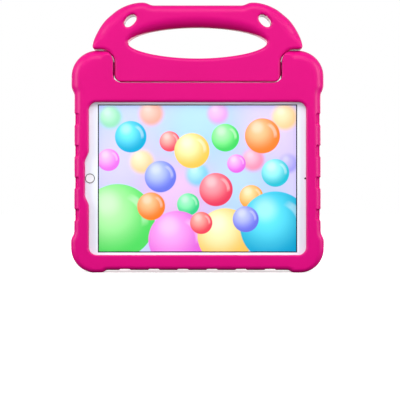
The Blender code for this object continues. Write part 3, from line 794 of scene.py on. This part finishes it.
@dataclass
class FoamHandle:
    """Foam carry handle, which folds back as a stand, with a hand slot and two cord slots."""

    layout: Layout
    arm_lean: float = 3.0 * MM
    arm_bend: float = 264.3 * MM
    crown_inset: float = 36.2 * MM
    crown_radius: float = 46.8 * MM
    tip_radius: float = 3.0 * MM
    horn_inner: float = 56.5 * MM
    horn_foot: float = 49.5 * MM
    horn_rise: float = 3.2 * MM
    horn_radius: float = 12.0 * MM
    tab_corner: float = 7.5 * MM
    crook: float = 15.4 * MM
    tab_rim: float = 4.0 * MM
    tab_foot_rim: float = 1.2 * MM
    tip_rim: float = 2.4 * MM
    arm_rim: float = 13.0 * MM
    crown_rim: float = 9.0 * MM
    crown_blend: Pair = (72.0 * MM, 96.0 * MM)
    rim_blend: float = 22.0 * MM
    slot_half: Pair = (75.2 * MM, 17.0 * MM)
    slot_z: float = 247.9 * MM
    slot_power: float = 1.9
    slot_rim: float = 4.0 * MM
    palm_rim: float = 12.0 * MM
    cord_half: Pair = (8.0 * MM, 4.9 * MM)
    cord_at: Pair = (72.5 * MM, 271.3 * MM)
    cord_power: float = 2.2
    cord_tilt: float = math.radians(45)
    cord_rim: float = 2.5 * MM
    bore: float = 5.3 * MM
    bore_depth: float = 13.8 * MM
    voxel: float = 0.7 * MM
    smoothing: int = 4
    most_triangles: int = 120_000

    def corners(self) -> list[Corner]:
        """Lists the corners of the outline, from the tab round to the horns.

        Returns:
            The corners.
        """
        at = self.layout
        return mirrored([
            Corner(at.tab_half, at.pivot - at.tab_drop, self.tab_corner),
            Corner(at.tab_half, at.arm_underside, self.crook),
            Corner(at.arm_half, at.arm_underside, self.tip_radius),
            Corner(at.arm_half - self.arm_lean, self.arm_bend, self.crown_radius),
            Corner(at.arm_half - self.crown_inset, at.handle_top, self.crown_radius),
            Corner(self.horn_inner, at.handle_top, self.horn_radius),
            Corner(self.horn_foot, at.handle_top - self.horn_rise, self.horn_radius),
        ])

    def rim(self, x: float, z: float) -> float:
        """Gives the edge radius, which is fine at the tab and full along the arms.

        Args:
            x: place of the outline's point across.
            z: its height.

        Returns:
            The radius.
        """
        at = self.layout
        foot = at.pivot - at.tab_drop
        if z < at.arm_underside - self.tip_radius:
            return mix(self.tab_foot_rim, self.tab_rim, ease((z - foot) / self.tab_corner))
        tip = mix(self.tab_rim, self.tip_rim, ease((abs(x) - at.tab_half) / (at.arm_half - at.tab_half)))
        near, far = self.crown_blend
        full = mix(self.crown_rim, self.arm_rim, ease((abs(x) - near) / (far - near)))
        return mix(tip, full, ease((z - at.arm_underside) / self.rim_blend))

    def slot_lip(self, x: float, z: float) -> float:
        """Flare of the hand slot: fine below, and full where the palm lies on the bar above."""
        return -mix(self.slot_rim, self.palm_rim, ease((z - self.slot_z) / self.slot_half[1]))

    def hand_slot(self) -> Thing:
        """Builds the cutter for the lens-shaped hand slot, with rolled lips.

        Returns:
            The cutter.
        """
        half = self.layout.handle_depth / 2
        points = lens(0.0, self.slot_z, self.slot_half, self.slot_power)
        return Slab(points=points).between("cut_hand_slot", -half, half, self.slot_lip, self.slot_lip)

    def cord_slot(self, side: Side) -> Thing:
        """Builds the cutter for one tilted cord slot.

        Args:
            side: the side that it is on.

        Returns:
            The cutter.
        """
        half = self.layout.handle_depth / 2
        points = lens(side.value * self.cord_at[0], self.cord_at[1], self.cord_half, self.cord_power,
                      -side.value * self.cord_tilt, ROUND_CIRCLE)
        return Slab(points=points).between(f"cut_cord_slot_{side.name}", -half, half,
                                           -self.cord_rim, -self.cord_rim)

    def build(self, foam: Material) -> Thing:
        """Builds the handle.

        Args:
            foam: its material.

        Returns:
            The handle.
        """
        at = self.layout
        half = at.handle_depth / 2
        grip = Slab(self.corners()).between("foam_handle", -half, half, self.rim, self.rim)
        cuts = [self.hand_slot()]
        for side in Side:
            cuts.append(self.cord_slot(side))
            ends = sorted((side.value * (at.tab_half - self.bore_depth), side.value * at.recess_half))
            cuts.append(rod(f"cut_bore_{side.name}", (0, 0, at.pivot), "X", self.bore, *ends))
        carve(grip, cuts)
        soften(grip, self.voxel, self.smoothing, self.most_triangles)
        return place(grip, "handle", "eva_foam", foam, "handle")


@dataclass
class FoamShell:
    """Foam shell round the tablet: frame, bumpers, shoulders, back with its pad, and grips."""

    layout: Layout
    handle: FoamHandle
    foot_drop: float = 2.8 * MM
    foot_run: float = 4.2 * MM
    foot_start: float = 35.0 * MM
    bumper_radius: float = 26.5 * MM
    bumper_height: float = 36.5 * MM
    bumper_flare: float = 6.0 * MM
    foot_bends: Pair = (5.0 * MM, 7.0 * MM)
    flare_bend: float = 10.0 * MM
    shoulder_bend: float = 12.0 * MM
    shoulder_top: float = 240.1 * MM
    shoulder_radius: float = 28.7 * MM
    shoulder_inner: float = 12.5 * MM
    shoulder_start: float = 11.6 * MM
    recess_corner: float = 9.4 * MM
    foot_rim: float = 5.0 * MM
    bar_rim: float = 16.0 * MM
    bar_half: float = 78.0 * MM
    bar_blend: float = 16.0 * MM
    bar_lip: float = 1.5 * MM
    side_rim: float = 7.0 * MM
    shoulder_rim: float = 12.0 * MM
    recess_rim: float = 0.8 * MM
    foot_blend: float = 20.0 * MM
    shoulder_blend: float = 40.0 * MM
    window: tuple[float, float, float] = (117.0 * MM, 19.0 * MM, 183.6 * MM)
    window_corner: float = 8.6 * MM
    window_rim: float = 3.0 * MM
    cavity_corner: float = 12.3 * MM
    cavity_rim: float = 2.0 * MM
    bay: float = 4.2 * MM
    bay_half: float = 19.3 * MM
    bay_ramp: float = 9.0 * MM
    bay_bend: float = 8.0 * MM
    groove_count: int = 4
    groove_pitch: float = 34.3 * MM
    groove_length: float = 13.0 * MM
    groove_depth: float = 1.3 * MM
    groove_start: float = 62.4 * MM
    notch_depth: float = 4.4 * MM
    notch_reach: float = 5.0 * MM
    notch_slope: float = 0.35
    foot_groove_count: int = 6
    foot_groove_pitch: float = 31.3 * MM
    foot_groove_length: float = 11.8 * MM
    foot_groove_depth: float = 1.2 * MM
    port_opening: Pair = (8.5 * MM, 16.0 * MM)
    sound_radius: float = 1.3 * MM
    sound_start: float = 16.0 * MM
    sound_pitch: float = 10.0 * MM
    sound_count: int = 4
    mic_radius: float = 1.6 * MM
    mic_inset: float = 12.5 * MM
    camera_slot: tuple[float, float, float, float] = (114.8 * MM, 31.5 * MM, 14.0 * MM, 29.0 * MM)
    pockets: Pair = (111.1 * MM, -80.6 * MM)
    pocket_size: tuple[float, float, float] = (32.0 * MM, 8.0 * MM, 9.2 * MM)
    pocket_corner: float = 2.5 * MM
    pad: tuple[float, float, float, float] = (110.05 * MM, 208.0 * MM, 156.0 * MM, 14.0 * MM)
    pad_rim: float = 5.0 * MM
    channel: tuple[float, float, float] = (8.0 * MM, 7.5 * MM, 2.5 * MM)
    step: Pair = (3.2 * MM, 0.5 * MM)
    step_count: int = 2
    bore_depth: float = 17.8 * MM
    sweep_steps: int = 24
    voxel: float = 0.55 * MM
    smoothing: int = 2
    most_triangles: int = 195_000

    def corners(self) -> list[Corner]:
        """Lists the corners of the outline, from the foot round the bumper to the recess.

        Returns:
            The corners.
        """
        at = self.layout
        side = at.case_half
        bulge = side + at.bulge
        foot = side - self.foot_start
        flare = self.shoulder_start - self.bumper_flare
        return mirrored([
            Corner(foot, self.foot_drop, self.foot_bends[0]),
            Corner(foot + self.foot_run, 0.0, self.foot_bends[1]),
            Corner(bulge, 0.0, self.bumper_radius),
            Corner(bulge, self.bumper_height, self.flare_bend),
            Corner(side, self.bumper_height + self.bumper_flare, self.flare_bend),
            Corner(side, at.recess_floor - self.shoulder_start, self.flare_bend),
            Corner(bulge, at.recess_floor - flare, self.shoulder_bend),
            Corner(bulge, self.shoulder_top, self.shoulder_radius),
            Corner(at.recess_half, self.shoulder_top, self.shoulder_inner),
            Corner(at.recess_half, at.recess_floor, self.recess_corner),
        ])

    def rim(self, x: float, z: float) -> float:
        """Gives the edge radius, which is full at the shoulders and crisp round the recess.

        Args:
            x: place of the outline's point across.
            z: its height.

        Returns:
            The radius.
        """
        at = self.layout
        radius = mix(self.foot_rim, self.side_rim, ease(z / self.foot_blend))
        radius = mix(radius, self.shoulder_rim,
                     ease((z - at.recess_floor + self.shoulder_blend) / self.shoulder_blend))
        if z > at.recess_floor - at.fit:
            radius = mix(self.recess_rim, radius, ease((abs(x) - at.recess_half) / self.shoulder_inner))
        return radius

    def front_rim(self, x: float, z: float) -> float:
        """Edge radius in front, where the bar below the screen rolls under between the feet."""
        roll = (1 - ease((abs(x) - self.bar_half) / self.bar_blend)) * (1 - ease(z / self.foot_blend))
        return max(self.rim(x, z), self.bar_rim * roll)

    def window_lip(self, x: float, z: float) -> float:
        """Flare of the screen window: finer along the bar below the screen."""
        return -mix(self.bar_lip, self.window_rim, ease((z - self.window[1]) / self.window_corner))

    def window_corners(self, middle: float) -> list[Corner]:
        """Lists the corners of the screen window, with the bay for the home key on its left.

        Args:
            middle: height of the home key.

        Returns:
            The corners.
        """
        half, low, high = self.window
        bay = -half - self.bay
        ramp = self.bay_half + self.bay_ramp
        return [
            Corner(-half, low, self.window_corner),
            Corner(half, low, self.window_corner),
            Corner(half, high, self.window_corner),
            Corner(-half, high, self.window_corner),
            Corner(-half, middle + ramp, self.bay_bend),
            Corner(bay, middle + self.bay_half, self.bay_bend),
            Corner(bay, middle - self.bay_half, self.bay_bend),
            Corner(-half, middle - ramp, self.bay_bend),
        ]

    def tablet_cutters(self) -> list[Thing]:
        """Builds the cavity for the tablet and the window in front of it.

        Returns:
            The cutters.
        """
        at = self.layout
        low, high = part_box("tablet_tray")
        glass_low, glass_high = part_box("tablet_glass")
        middle = (low.z + high.z) / 2
        width, height = (high.x - low.x) + 2 * at.fit, (high.z - low.z) + 2 * at.fit
        cavity = Slab(rounded_box(0, middle, width, height, self.cavity_corner)).between(
            "cut_cavity", glass_low.y - at.fit, high.y + at.fit, 0.0, self.cavity_rim)
        window = Slab(self.window_corners(middle)).between(
            "cut_window", at.front, glass_high.y, self.window_lip)
        return [cavity, window]

    def sweep_cutters(self) -> list[Thing]:
        """Makes room for the handle's turn: where it lies folded, and the tab's and arms' paths.

        Returns:
            The cutters.
        """
        at = self.layout
        gap = at.sweep_gap
        half = at.handle_depth / 2 + gap / 2
        slab = Slab(self.handle.corners(), grow=gap)
        lift = at.arm_underside - gap - at.pivot
        under = [(p.x, p.z - at.pivot) for p in slab.outline
                 if p.x > 0 and gap < p.z - at.pivot < lift + at.fit / 3]
        folded = slab.between("cut_folded", -half, half)
        about = Matrix.Translation((0, 0, at.pivot))
        folded.data.transform(about @ Matrix.Rotation(-at.fold, 4, "X") @ about.inverted())
        rim = self.handle.tab_rim
        reach = math.hypot(at.handle_depth / 2 - rim, at.tab_drop - rim) + rim + at.fit
        wide = at.tab_half + gap
        tab = rod("cut_tab_path", (0, 0, at.pivot), "X", reach, -wide, wide, FINE_CIRCLE)
        tip = at.arm_half + gap
        side = [(wide, gap), *under, (tip, lift), (tip, (at.handle_top - at.pivot) / 2)]
        loop = side + [(-x, r) for x, r in reversed(side)]
        bm = bmesh.new()
        face = bm.faces.new([bm.verts.new((x, 0, at.pivot + r)) for x, r in loop])
        bmesh.ops.spin(bm, geom=[face], cent=(0, 0, at.pivot), axis=(1, 0, 0), dvec=(0, 0, 0),
                       angle=-at.fold, steps=self.sweep_steps, use_duplicate=False)
        return [folded, tab, add_object("cut_arm_path", bm)]

    def side_grips(self, side: Side) -> list[Thing]:
        """Builds the cutters for one side's grip grooves and for the notches in their front edge.

        Args:
            side: the side.

        Returns:
            The cutters.
        """
        at = self.layout
        kinds = (("groove", self.groove_depth, self.groove_length, at.back + OVERSHOOT),
                 ("notch", self.notch_depth, self.groove_length - 2 * at.fit, at.front + self.notch_reach))
        cutters = []
        for k in range(self.groove_count):
            z = self.groove_start + self.groove_pitch * k
            for kind, depth, length, back in kinds:
                x = side.value * (at.case_half - depth + OVERSHOOT)
                box = rounded_box(x, z, 2 * OVERSHOOT, length, self.groove_depth)
                cut = Slab(box).between(f"cut_{kind}_{side.name}_{k}", at.front - OVERSHOOT, back)
                if kind == "notch":
                    slope = Matrix.Shear("XZ", 4, (side.value * self.notch_slope, 0.0))
                    foot = Matrix.Translation((0.0, back, 0.0))
                    cut.data.transform(foot @ slope @ foot.inverted())
                cutters.append(cut)
        return cutters

    def grip_cutters(self) -> list[Thing]:
        """Builds the cutters for the grips down both sides and along the bottom.

        Returns:
            The cutters.
        """
        at = self.layout
        cutters = [cut for side in Side for cut in self.side_grips(side)]
        z = self.foot_drop + self.foot_groove_depth - OVERSHOOT / 2
        for k in range(self.foot_groove_count):
            x = self.foot_groove_pitch * (k - (self.foot_groove_count - 1) / 2)
            box = rounded_box(x, z, self.foot_groove_length, OVERSHOOT, self.foot_groove_depth)
            cutters.append(Slab(box).between(f"cut_foot_{k}", at.front - OVERSHOOT, at.back + OVERSHOOT))
        return cutters

    def opening_cutters(self) -> list[Thing]:
        """Builds the holes for port, speakers, microphone and rear camera, and the finger pockets.

        Returns:
            The cutters.
        """
        at = self.layout
        low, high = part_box("tablet_tray")
        middle = (low.z + high.z) / 2
        height, length = self.port_opening
        tunnel = high.x - OVERSHOOT
        out = at.case_half + at.bulge
        port = Slab(rounded_box((low.y + high.y) / 2, middle, height, length, height * FULL_ROUND)).between(
            "cut_port", tunnel, out)
        port.data.transform(Matrix.Rotation(math.pi / 2, 4, "Z"))
        cutters = [port]
        sound_y = high.y - (high.y - low.y) / 3
        for way in (-1, 1):
            for k in range(self.sound_count):
                z = middle + way * (self.sound_start + self.sound_pitch * k)
                cutters.append(rod(f"cut_sound_{way}_{k}", (0, sound_y, z), "X", self.sound_radius,
                                   -out, -tunnel, SMALL_CIRCLE))
        cutters.append(rod("cut_mic", (at.case_half - self.mic_inset, 0, middle), "Y", self.mic_radius,
                           low.y, at.back + OVERSHOOT, SMALL_CIRCLE))
        x, z, wide, tall = self.camera_slot
        cutters.append(Slab(rounded_box(x, z, wide, tall, wide * FULL_ROUND)).between(
            "cut_camera_slot", low.y, at.back + OVERSHOOT))
        span, depth, rise = self.pocket_size
        top = self.foot_drop + rise
        for x in self.pockets:
            box = rounded_box(x, (top - OVERSHOOT) / 2, span, top + OVERSHOOT, self.pocket_corner)
            cutters.append(Slab(box).between(f"cut_pocket_{x:.3f}", at.back - depth, at.back + OVERSHOOT))
        for side in Side:
            ends = sorted((side.value * at.tab_half, side.value * (at.recess_half + self.bore_depth)))
            cutters.append(rod(f"cut_shoulder_bore_{side.name}", (0, 0, at.pivot), "X",
                               self.handle.bore, *ends))
        return cutters

    def back_cutters(self) -> list[Thing]:
        """Builds the channel round the back pad, with fine steps that lead down to it.

        Returns:
            The cutters.
        """
        at = self.layout
        z, width, height, corner = self.pad
        gap, depth, rim = self.channel
        box = rounded_box(0, z, width + 2 * gap, height + 2 * gap, corner + gap)
        cutters = [Slab(box).between("cut_channel", at.back - depth, at.back + OVERSHOOT, rim)]
        wide, deep = self.step
        for k in range(self.step_count):
            grow = gap + wide * (self.step_count - k)
            box = rounded_box(0, z, width + 2 * grow, height + 2 * grow, corner + grow)
            front = at.margin - deep * (k + 1)
            cutters.append(Slab(box).between(f"cut_step_{k}", front, at.back + OVERSHOOT))
        return cutters

    def build(self, foam: Material) -> Thing:
        """Builds the shell.

        Args:
            foam: its material.

        Returns:
            The shell.
        """
        at = self.layout
        shell = Slab(self.corners()).between("foam_shell", at.front, at.margin, self.front_rim, self.rim)
        z, width, height, corner = self.pad
        carve(shell, self.back_cutters())
        root = at.back - self.channel[1] - self.pad_rim / 2
        pad = Slab(rounded_box(0, z, width, height, corner)).between(
            "add_pad", root, at.back, 0.0, self.pad_rim)
        carve(shell, [pad], Cut.ON)
        cutters = self.tablet_cutters() + self.sweep_cutters()
        carve(shell, cutters + self.grip_cutters() + self.opening_cutters())
        soften(shell, self.voxel, self.smoothing, self.most_triangles)
        return place(shell, "case", "eva_foam", foam, "case_shell")


@dataclass
class Tablet:
    """Tablet in the case: printed glass, home key, cameras, tray and charging socket."""

    corner: float = 12.0 * MM
    glass_edge: float = 0.35 * MM
    key_play: float = 0.15 * MM
    key_dish: float = 0.25 * MM
    ring_round: float = 0.15 * MM
    socket_wall: float = 0.5 * MM
    tongue: Pair = (0.7 * MM, 6.6 * MM)
    tongue_round: float = 0.3

    # Section of the key as shares of its dish and radius, and of the rear lens and its ring as
    # shares of their depth and radius or rise.
    key_section: tuple[Pair, ...] = (
        (1.0, 0.0), (0.8, 0.45), (0.3, 0.8), (0.0, 0.94), (0.2, 0.985), (1.0, 1.0))
    lens_section: tuple[Pair, ...] = (
        (0.0, 0.0), (0.0, 1.0), (0.75, 1.0), (0.9, 0.93), (0.97, 0.6), (1.0, 0.0))
    ring_bevel: float = 0.2
    ring_mouth: Pair = (0.35, 0.3)

    @staticmethod
    def measure(node: str) -> tuple[Vector, float, float]:
        """Measures a piece of the CAD shape that is round about Y.

        Args:
            node: its name.

        Returns:
            The middle of its front face, its radius and its thickness.
        """
        low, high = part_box(node)
        centre = Vector(((low.x + high.x) / 2, low.y, (low.z + high.z) / 2))
        return centre, (high.x - low.x) / 2, high.y - low.y

    def glass(self) -> Thing:
        """Builds the cover glass, with a ground edge and holes for the key and the camera.

        Returns:
            The glass.
        """
        low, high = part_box("tablet_glass")
        middle = (low.z + high.z) / 2
        outline = rounded_box(0, middle, high.x - low.x, high.z - low.z, self.corner)
        glass = Slab(outline).between("cover_glass", low.y, high.y, self.glass_edge)
        holes = []
        for name, play in (("home_ring", self.key_play), ("front_camera", 0.0)):
            centre, radius, _ = self.measure(name)
            holes.append(rod(f"cut_{name}", (centre.x, 0.0, centre.z), "Y", radius + play,
                             low.y - OVERSHOOT, high.y + OVERSHOOT, TURNED_CIRCLE))
        carve(glass, holes)
        crisp(glass.data)
        low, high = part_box("display_panel")
        finish = PrintedGlass(middle=((low.x + high.x) / 2, 0.0, (low.z + high.z) / 2),
                              half_width=(high.x - low.x) / 2, half_height=(high.z - low.z) / 2,
                              bubbles=SCREEN_BUBBLES)
        return place(glass, "case", "cover_glass", finish.material(), "tablet_glass")

    def home_key(self) -> None:
        """Builds the key, dished for a fingertip, and its rounded ring."""
        centre, r, t = self.measure("home_button")
        face = [(self.key_dish * a, r * b) for a, b in self.key_section] + [(t, r), (t, 0.0)]
        place(turned("home_key_face", face, centre, "Y"), "home_key", "key_face",
              FINISHES["home_button"].material(), "home_button")
        out, c = self.measure("home_ring")[1], self.ring_round
        ring = [(c, r), (0.0, r + c), (0.0, out - c), (c, out), (t, out), (t, r), (c, r)]
        place(turned("home_key_ring", ring, centre, "Y"), "home_key", "ring_metal",
              FINISHES["home_ring"].material(), "home_ring")

    def rear_camera(self) -> None:
        """Builds the rear camera's ring, with a bevelled mouth, and its domed lens."""
        centre, r, t = self.measure("rear_camera_lens")
        dome = [(t * a, r * b) for a, b in self.lens_section]
        place(turned("rear_lens", dome, centre, "Y"), "case", "lens_glass",
              FINISHES["rear_camera_lens"].material(), "rear_camera_lens")
        _, out, t = self.measure("rear_camera_ring")
        bevel, (wide, deep) = self.ring_bevel * t, self.ring_mouth
        ring = [(0.0, r), (0.0, out), (t - bevel, out), (t, out - bevel), (t, r + wide * t),
                (t - deep * t, r), (0.0, r)]
        place(turned("rear_lens_ring", ring, centre, "Y"), "case", "ring_metal",
              FINISHES["rear_camera_ring"].material(), "rear_camera_ring")

    def socket(self) -> None:
        """Builds the charging socket: a rounded shell that is open outwards, with a tongue inside."""
        low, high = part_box("port_socket")
        y, z = (low.y + high.y) / 2, (low.z + high.z) / 2
        tall, long, wall = high.y - low.y, high.z - low.z, self.socket_wall
        shell = Slab(rounded_box(y, z, tall, long, tall * FULL_ROUND)).between(
            "port_shell", -high.x, -low.x)
        inner = tall - 2 * wall
        mouth = Slab(rounded_box(y, z, inner, long - 2 * wall, inner * FULL_ROUND)).between(
            "cut_mouth", -high.x + wall, -low.x + OVERSHOOT)
        thin, wide = self.tongue
        tongue = Slab(rounded_box(y, z, thin, wide, thin * self.tongue_round)).between(
            "add_tongue", -high.x + wall / 2, -low.x - 2 * wall)
        carve(shell, [mouth])
        carve(shell, [tongue], Cut.ON)
        shell.data.transform(Matrix.Rotation(math.pi / 2, 4, "Z"))
        place(shell, "case", "socket_plastic", FINISHES["port_socket"].material(), "port_socket")

    def build(self) -> None:
        """Builds the tablet's pieces, and dresses those that keep their CAD mesh."""
        self.glass()
        self.home_key()
        self.rear_camera()
        self.socket()
        for name in KEPT_NODES:
            node = frame["nodes"][name]
            node.data.materials.clear()
            node.data.materials.append(FINISHES[name].material())
            LOG.info("%s keeps its CAD mesh", name)


# Blur, cover and gleam of the balls that are far behind.
HAZE = (0.6, 0.6, 0.0)
FAR = (0.3, 0.8, 0.2)
SCREEN_BUBBLES = (
    Bubble(-80, 10, 44, "#D9C8FF", "#C9B8FA", *HAZE),
    Bubble(6, 58, 40, "#9CDCFA", "#8CCBF6", *HAZE),
    Bubble(84, 44, 42, "#D6C2FC", "#C9B6F7", *HAZE),
    Bubble(50, -14, 38, "#A6D8FF", "#96C6F8", *HAZE),
    Bubble(-20, -20, 36, "#F3B6D6", "#E9A2CC", *HAZE),
    Bubble(-94, 66, 12, "#B4F0C0", "#78D890", *FAR),
    Bubble(-50, 70, 13, "#FFC4A0", "#F49A62", *FAR),
    Bubble(22, 70, 11, "#F4B6EE", "#E08CDC", *FAR),
    Bubble(94, 66, 14, "#FFE39A", "#F2C252", *FAR),
    Bubble(60, 20, 12, "#FFB0BC", "#EE7088", *FAR),
    Bubble(-60, 18, 13, "#FFE7A4", "#F0C860", *FAR),
    Bubble(0, 4, 12, "#9AE8F6", "#52C4E6", *FAR),
    Bubble(98, 16, 10, "#B7B4F8", "#8C88E6", *FAR),
    Bubble(-72, 45, 17, "#6CE6F6", "#0CA2CC"),
    Bubble(-30, 40, 11, "#FFAFA6", "#E8485E"),
    Bubble(-6, 30, 19, "#FFF0B4", "#EFBE4E"),
    Bubble(30, 44, 15, "#A2FFAA", "#3ECB5C"),
    Bubble(70, 46, 19, "#FFC08C", "#EC7828"),
    Bubble(42, 16, 10, "#FBB4F6", "#D860D8"),
    Bubble(-96, 20, 12, "#F9B6F6", "#DC6ADC"),
    Bubble(84, 6, 15, "#A4F7F8", "#20B4C8"),
    Bubble(-40, 2, 17, "#B6C6FF", "#6472DE"),
    Bubble(20, -12, 18, "#FF9CA6", "#DE3C5A"),
    Bubble(58, -20, 13, "#FFD79A", "#EE9A36"),
    Bubble(-10, -28, 12, "#9CFBC0", "#36C882"),
    Bubble(-86, -46, 40, "#B2F5AA", "#4ED45E", 0.015),
    Bubble(-22, -66, 31, "#F6A8EE", "#DA62D6", 0.02),
    Bubble(-50, -30, 15, "#FFC08C", "#EC7828"),
    Bubble(30, -62, 30, "#FFF2BC", "#EBC058", 0.02),
    Bubble(84, -52, 38, "#5FE2F6", "#0A9CC8", 0.015),
    Bubble(52, -44, 14, "#B9C2FF", "#6A70E0"),
    Bubble(4, -48, 12, "#FFA9A0", "#E64458"),
)

KEPT_NODES = ("tablet_tray", "display_panel", "front_camera", "pivot_pin_left", "pivot_pin_right")

FINISHES = {
    # Milled aluminium, bead blasted and anodised: an even silver with a soft, wide light.
    "tablet_tray": PlainFinish("aluminium_bead_blasted", "#DCDEE2", 0.38, 1.0, 0.5 * MM, 0.01 * MM),
    # Laminated display stack, black from behind; the printed glass in front hides it.
    "display_panel": PlainFinish("display_stack", "#14161C", 0.3),
    # Polished glass over white ink: bright, with one sharp light on the dished face.
    "home_button": PlainFinish("key_glass_white", "#F2F6FB", 0.1, 0.0, 2 * MM, 0.002 * MM, 0.04),
    # Turned steel in an even dark grey: a thin grey circle with a crisp light.
    "home_ring": PlainFinish("steel_turned_ring", "#8F8C86", 0.28, 1.0),
    # Moulded and polished lens window: near black, mirrors the room sharply.
    "front_camera": PlainFinish("lens_glass_dark", "#101218", 0.08, 0.0, 1 * MM, 0.001 * MM, 0.04),
    # Turned steel with a cut bevel: a bright line round the lens.
    "rear_camera_ring": PlainFinish("steel_bright_ring", "#C4C2BC", 0.25, 1.0),
    # Ground and coated glass: near black with a deep blue cast.
    "rear_camera_lens": PlainFinish("lens_glass_coated", "#0C0E16", 0.06, 0.0, 1 * MM, 0.001 * MM, 0.04),
    # Injection moulded plastic from a spark-finished tool: a dull dark grey.
    "port_socket": PlainFinish("socket_plastic_dark", "#17181C", 0.5),
    # Injection moulded plastic in the foam's colour: a little smoother than the foam.
    "pivot_pin_left": PlainFinish("pin_plastic_pink", "#C01070", 0.45),
    "pivot_pin_right": PlainFinish("pin_plastic_pink", "#C01070", 0.45),
}


@dataclass
class Studio:
    """Pale floor, soft lamps, plain bright backdrop and the camera."""

    layout: Layout
    camera_x: float = 2.7 * MM
    camera_z: float = 78.3 * MM
    distance: float = 1.6
    lens: float = 134.0
    sight: float = 20.0
    ambient: float = 0.25
    floor_glow: float = 0.45
    floor_bounce: str = "#5A5A5A"
    mirror_glow: float = 0.3
    mirror_edge: Pair = (-0.1, 0.4)
    floor_half: float = 6.0
    floor_fade: Pair = (0.3, 1.2)
    floor_roughness: float = 0.9
    floor_colour: str = "#F6F6F6"
    aim: tuple[float, float, float] = (0.0, 0.0, 0.15)

    def camera(self) -> None:
        """Puts the camera where the photograph was taken from."""
        data = bpy.data.cameras.new("camera")
        data.lens = self.lens
        data.clip_end = self.sight
        camera = bpy.data.objects.new("camera", data)
        camera.location = (self.camera_x, self.layout.front - self.distance, self.camera_z)
        camera.rotation_euler = (math.pi / 2, 0.0, 0.0)
        bpy.context.scene.collection.objects.link(camera)
        bpy.context.scene.camera = camera

    def lamp(self, name: str, place_at: Sequence[float], size: Pair, power: float,
             mirrored_too: bool = True) -> None:
        """Adds a soft lamp that faces the object.

        Args:
            name: name of the lamp.
            place_at: where it hangs.
            size: width and height of its panel.
            power: its power in watts.
            mirrored_too: whether it shows in glossy surfaces, or is polarised away.
        """
        data = bpy.data.lights.new(name, "AREA")
        data.shape = "RECTANGLE"
        data.size, data.size_y = size
        data.energy = power
        lamp = bpy.data.objects.new(name, data)
        lamp.location = place_at
        aim = Vector(self.aim) - Vector(place_at)
        lamp.rotation_euler = aim.to_track_quat("-Z", "Y").to_euler()
        lamp.visible_camera = False
        lamp.visible_glossy = mirrored_too
        bpy.context.scene.collection.objects.link(lamp)

    def world(self) -> None:
        """Dim even room light, with a plain white backdrop where it is seen or mirrored."""
        world = bpy.data.worlds.new("studio")
        world.use_nodes = True
        bpy.context.scene.world = world
        tree = world.node_tree
        path = add_node(tree, "LightPath").outputs
        heading = add_node(tree, "SeparateXYZ", {0: add_node(tree, "TexCoord").outputs["Generated"]})
        behind = add_node(tree, "MapRange", {"Value": heading.outputs["Y"],
                                             "From Min": self.mirror_edge[0],
                                             "From Max": self.mirror_edge[1]})
        mirrored_ray = add_node(tree, "Math", {0: path["Is Glossy Ray"], 1: behind.outputs[0]},
                                operation="MULTIPLY")
        mirrored_light = add_node(tree, "Math", {0: mirrored_ray.outputs[0], 1: self.mirror_glow},
                                  operation="MULTIPLY")
        seen = add_node(tree, "Math", {0: path["Is Camera Ray"], 1: path["Is Transmission Ray"]},
                        operation="MAXIMUM")
        shown = add_node(tree, "Math", {0: seen.outputs[0], 1: mirrored_light.outputs[0]},
                         operation="MAXIMUM")
        strength = add_node(tree, "MapRange", {"Value": shown.outputs[0], "To Min": self.ambient,
                                               "To Max": 1.0})
        feed(tree, tree.nodes["Background"], {"Color": "#FFFFFF", "Strength": strength.outputs[0]})

    def floor(self) -> None:
        """Pale matte floor that keeps the object's shadow and runs out into the white backdrop."""
        # Uncoated paper, calendered dull: it spreads light evenly and mirrors nothing.
        bm = bmesh.new()
        bmesh.ops.create_grid(bm, x_segments=2, y_segments=2, size=self.floor_half)
        floor = add_object("floor", bm)
        material, tree, shader = new_material("paper_matte_white")
        seen = add_node(tree, "LightPath").outputs["Is Camera Ray"]
        away = add_node(tree, "VectorMath", {0: add_node(tree, "TexCoord").outputs["Object"]},
                        operation="LENGTH")
        near, far = self.floor_fade
        white = add_node(tree, "MapRange", {"Value": away.outputs["Value"], "From Min": near,
                                            "From Max": far, "To Min": self.floor_glow, "To Max": 1.0})
        glow = add_node(tree, "Math", {0: seen, 1: white.outputs[0]}, operation="MULTIPLY")
        paper = add_node(tree, "Mix", {0: seen, 6: self.floor_bounce, 7: self.floor_colour},
                         data_type="RGBA")
        feed(tree, shader, {"Base Color": paper.outputs[2], "Roughness": self.floor_roughness,
                            "Specular IOR Level": 0.0, "Emission Color": "#FFFFFF",
                            "Emission Strength": glow.outputs[0]})
        floor.data.materials.append(material)

    def build(self) -> None:
        """Sets up the whole studio."""
        self.camera()
        self.lamp("lamp_left", (-1.15, -0.5, 0.5), (0.6, 1.0), 14.5)
        self.lamp("lamp_right", (1.15, -0.5, 0.5), (0.6, 1.0), 14.5)
        self.lamp("lamp_top", (0.0, -0.95, 1.15), (1.2, 0.7), 11.5)
        self.lamp("lamp_fill", (0.0, -1.5, 0.3), (0.9, 0.3), 5.0, False)
        self.lamp("lamp_back", (0.0, 0.9, 0.1), (1.8, 0.5), 8.0)
        self.world()
        self.floor()
        bpy.context.scene.view_settings.view_transform = "Standard"


def main() -> None:
    """Builds every piece in order and reports each one."""
    logging.basicConfig(level=logging.INFO, format="%(name)s: %(message)s")
    layout = Layout()
    Studio(layout).build()
    foam = MouldedFoam().material()
    handle = FoamHandle(layout)
    handle.build(foam)
    FoamShell(layout, handle).build(foam)
    Tablet().build()


if __name__ == "__main__":
    main()
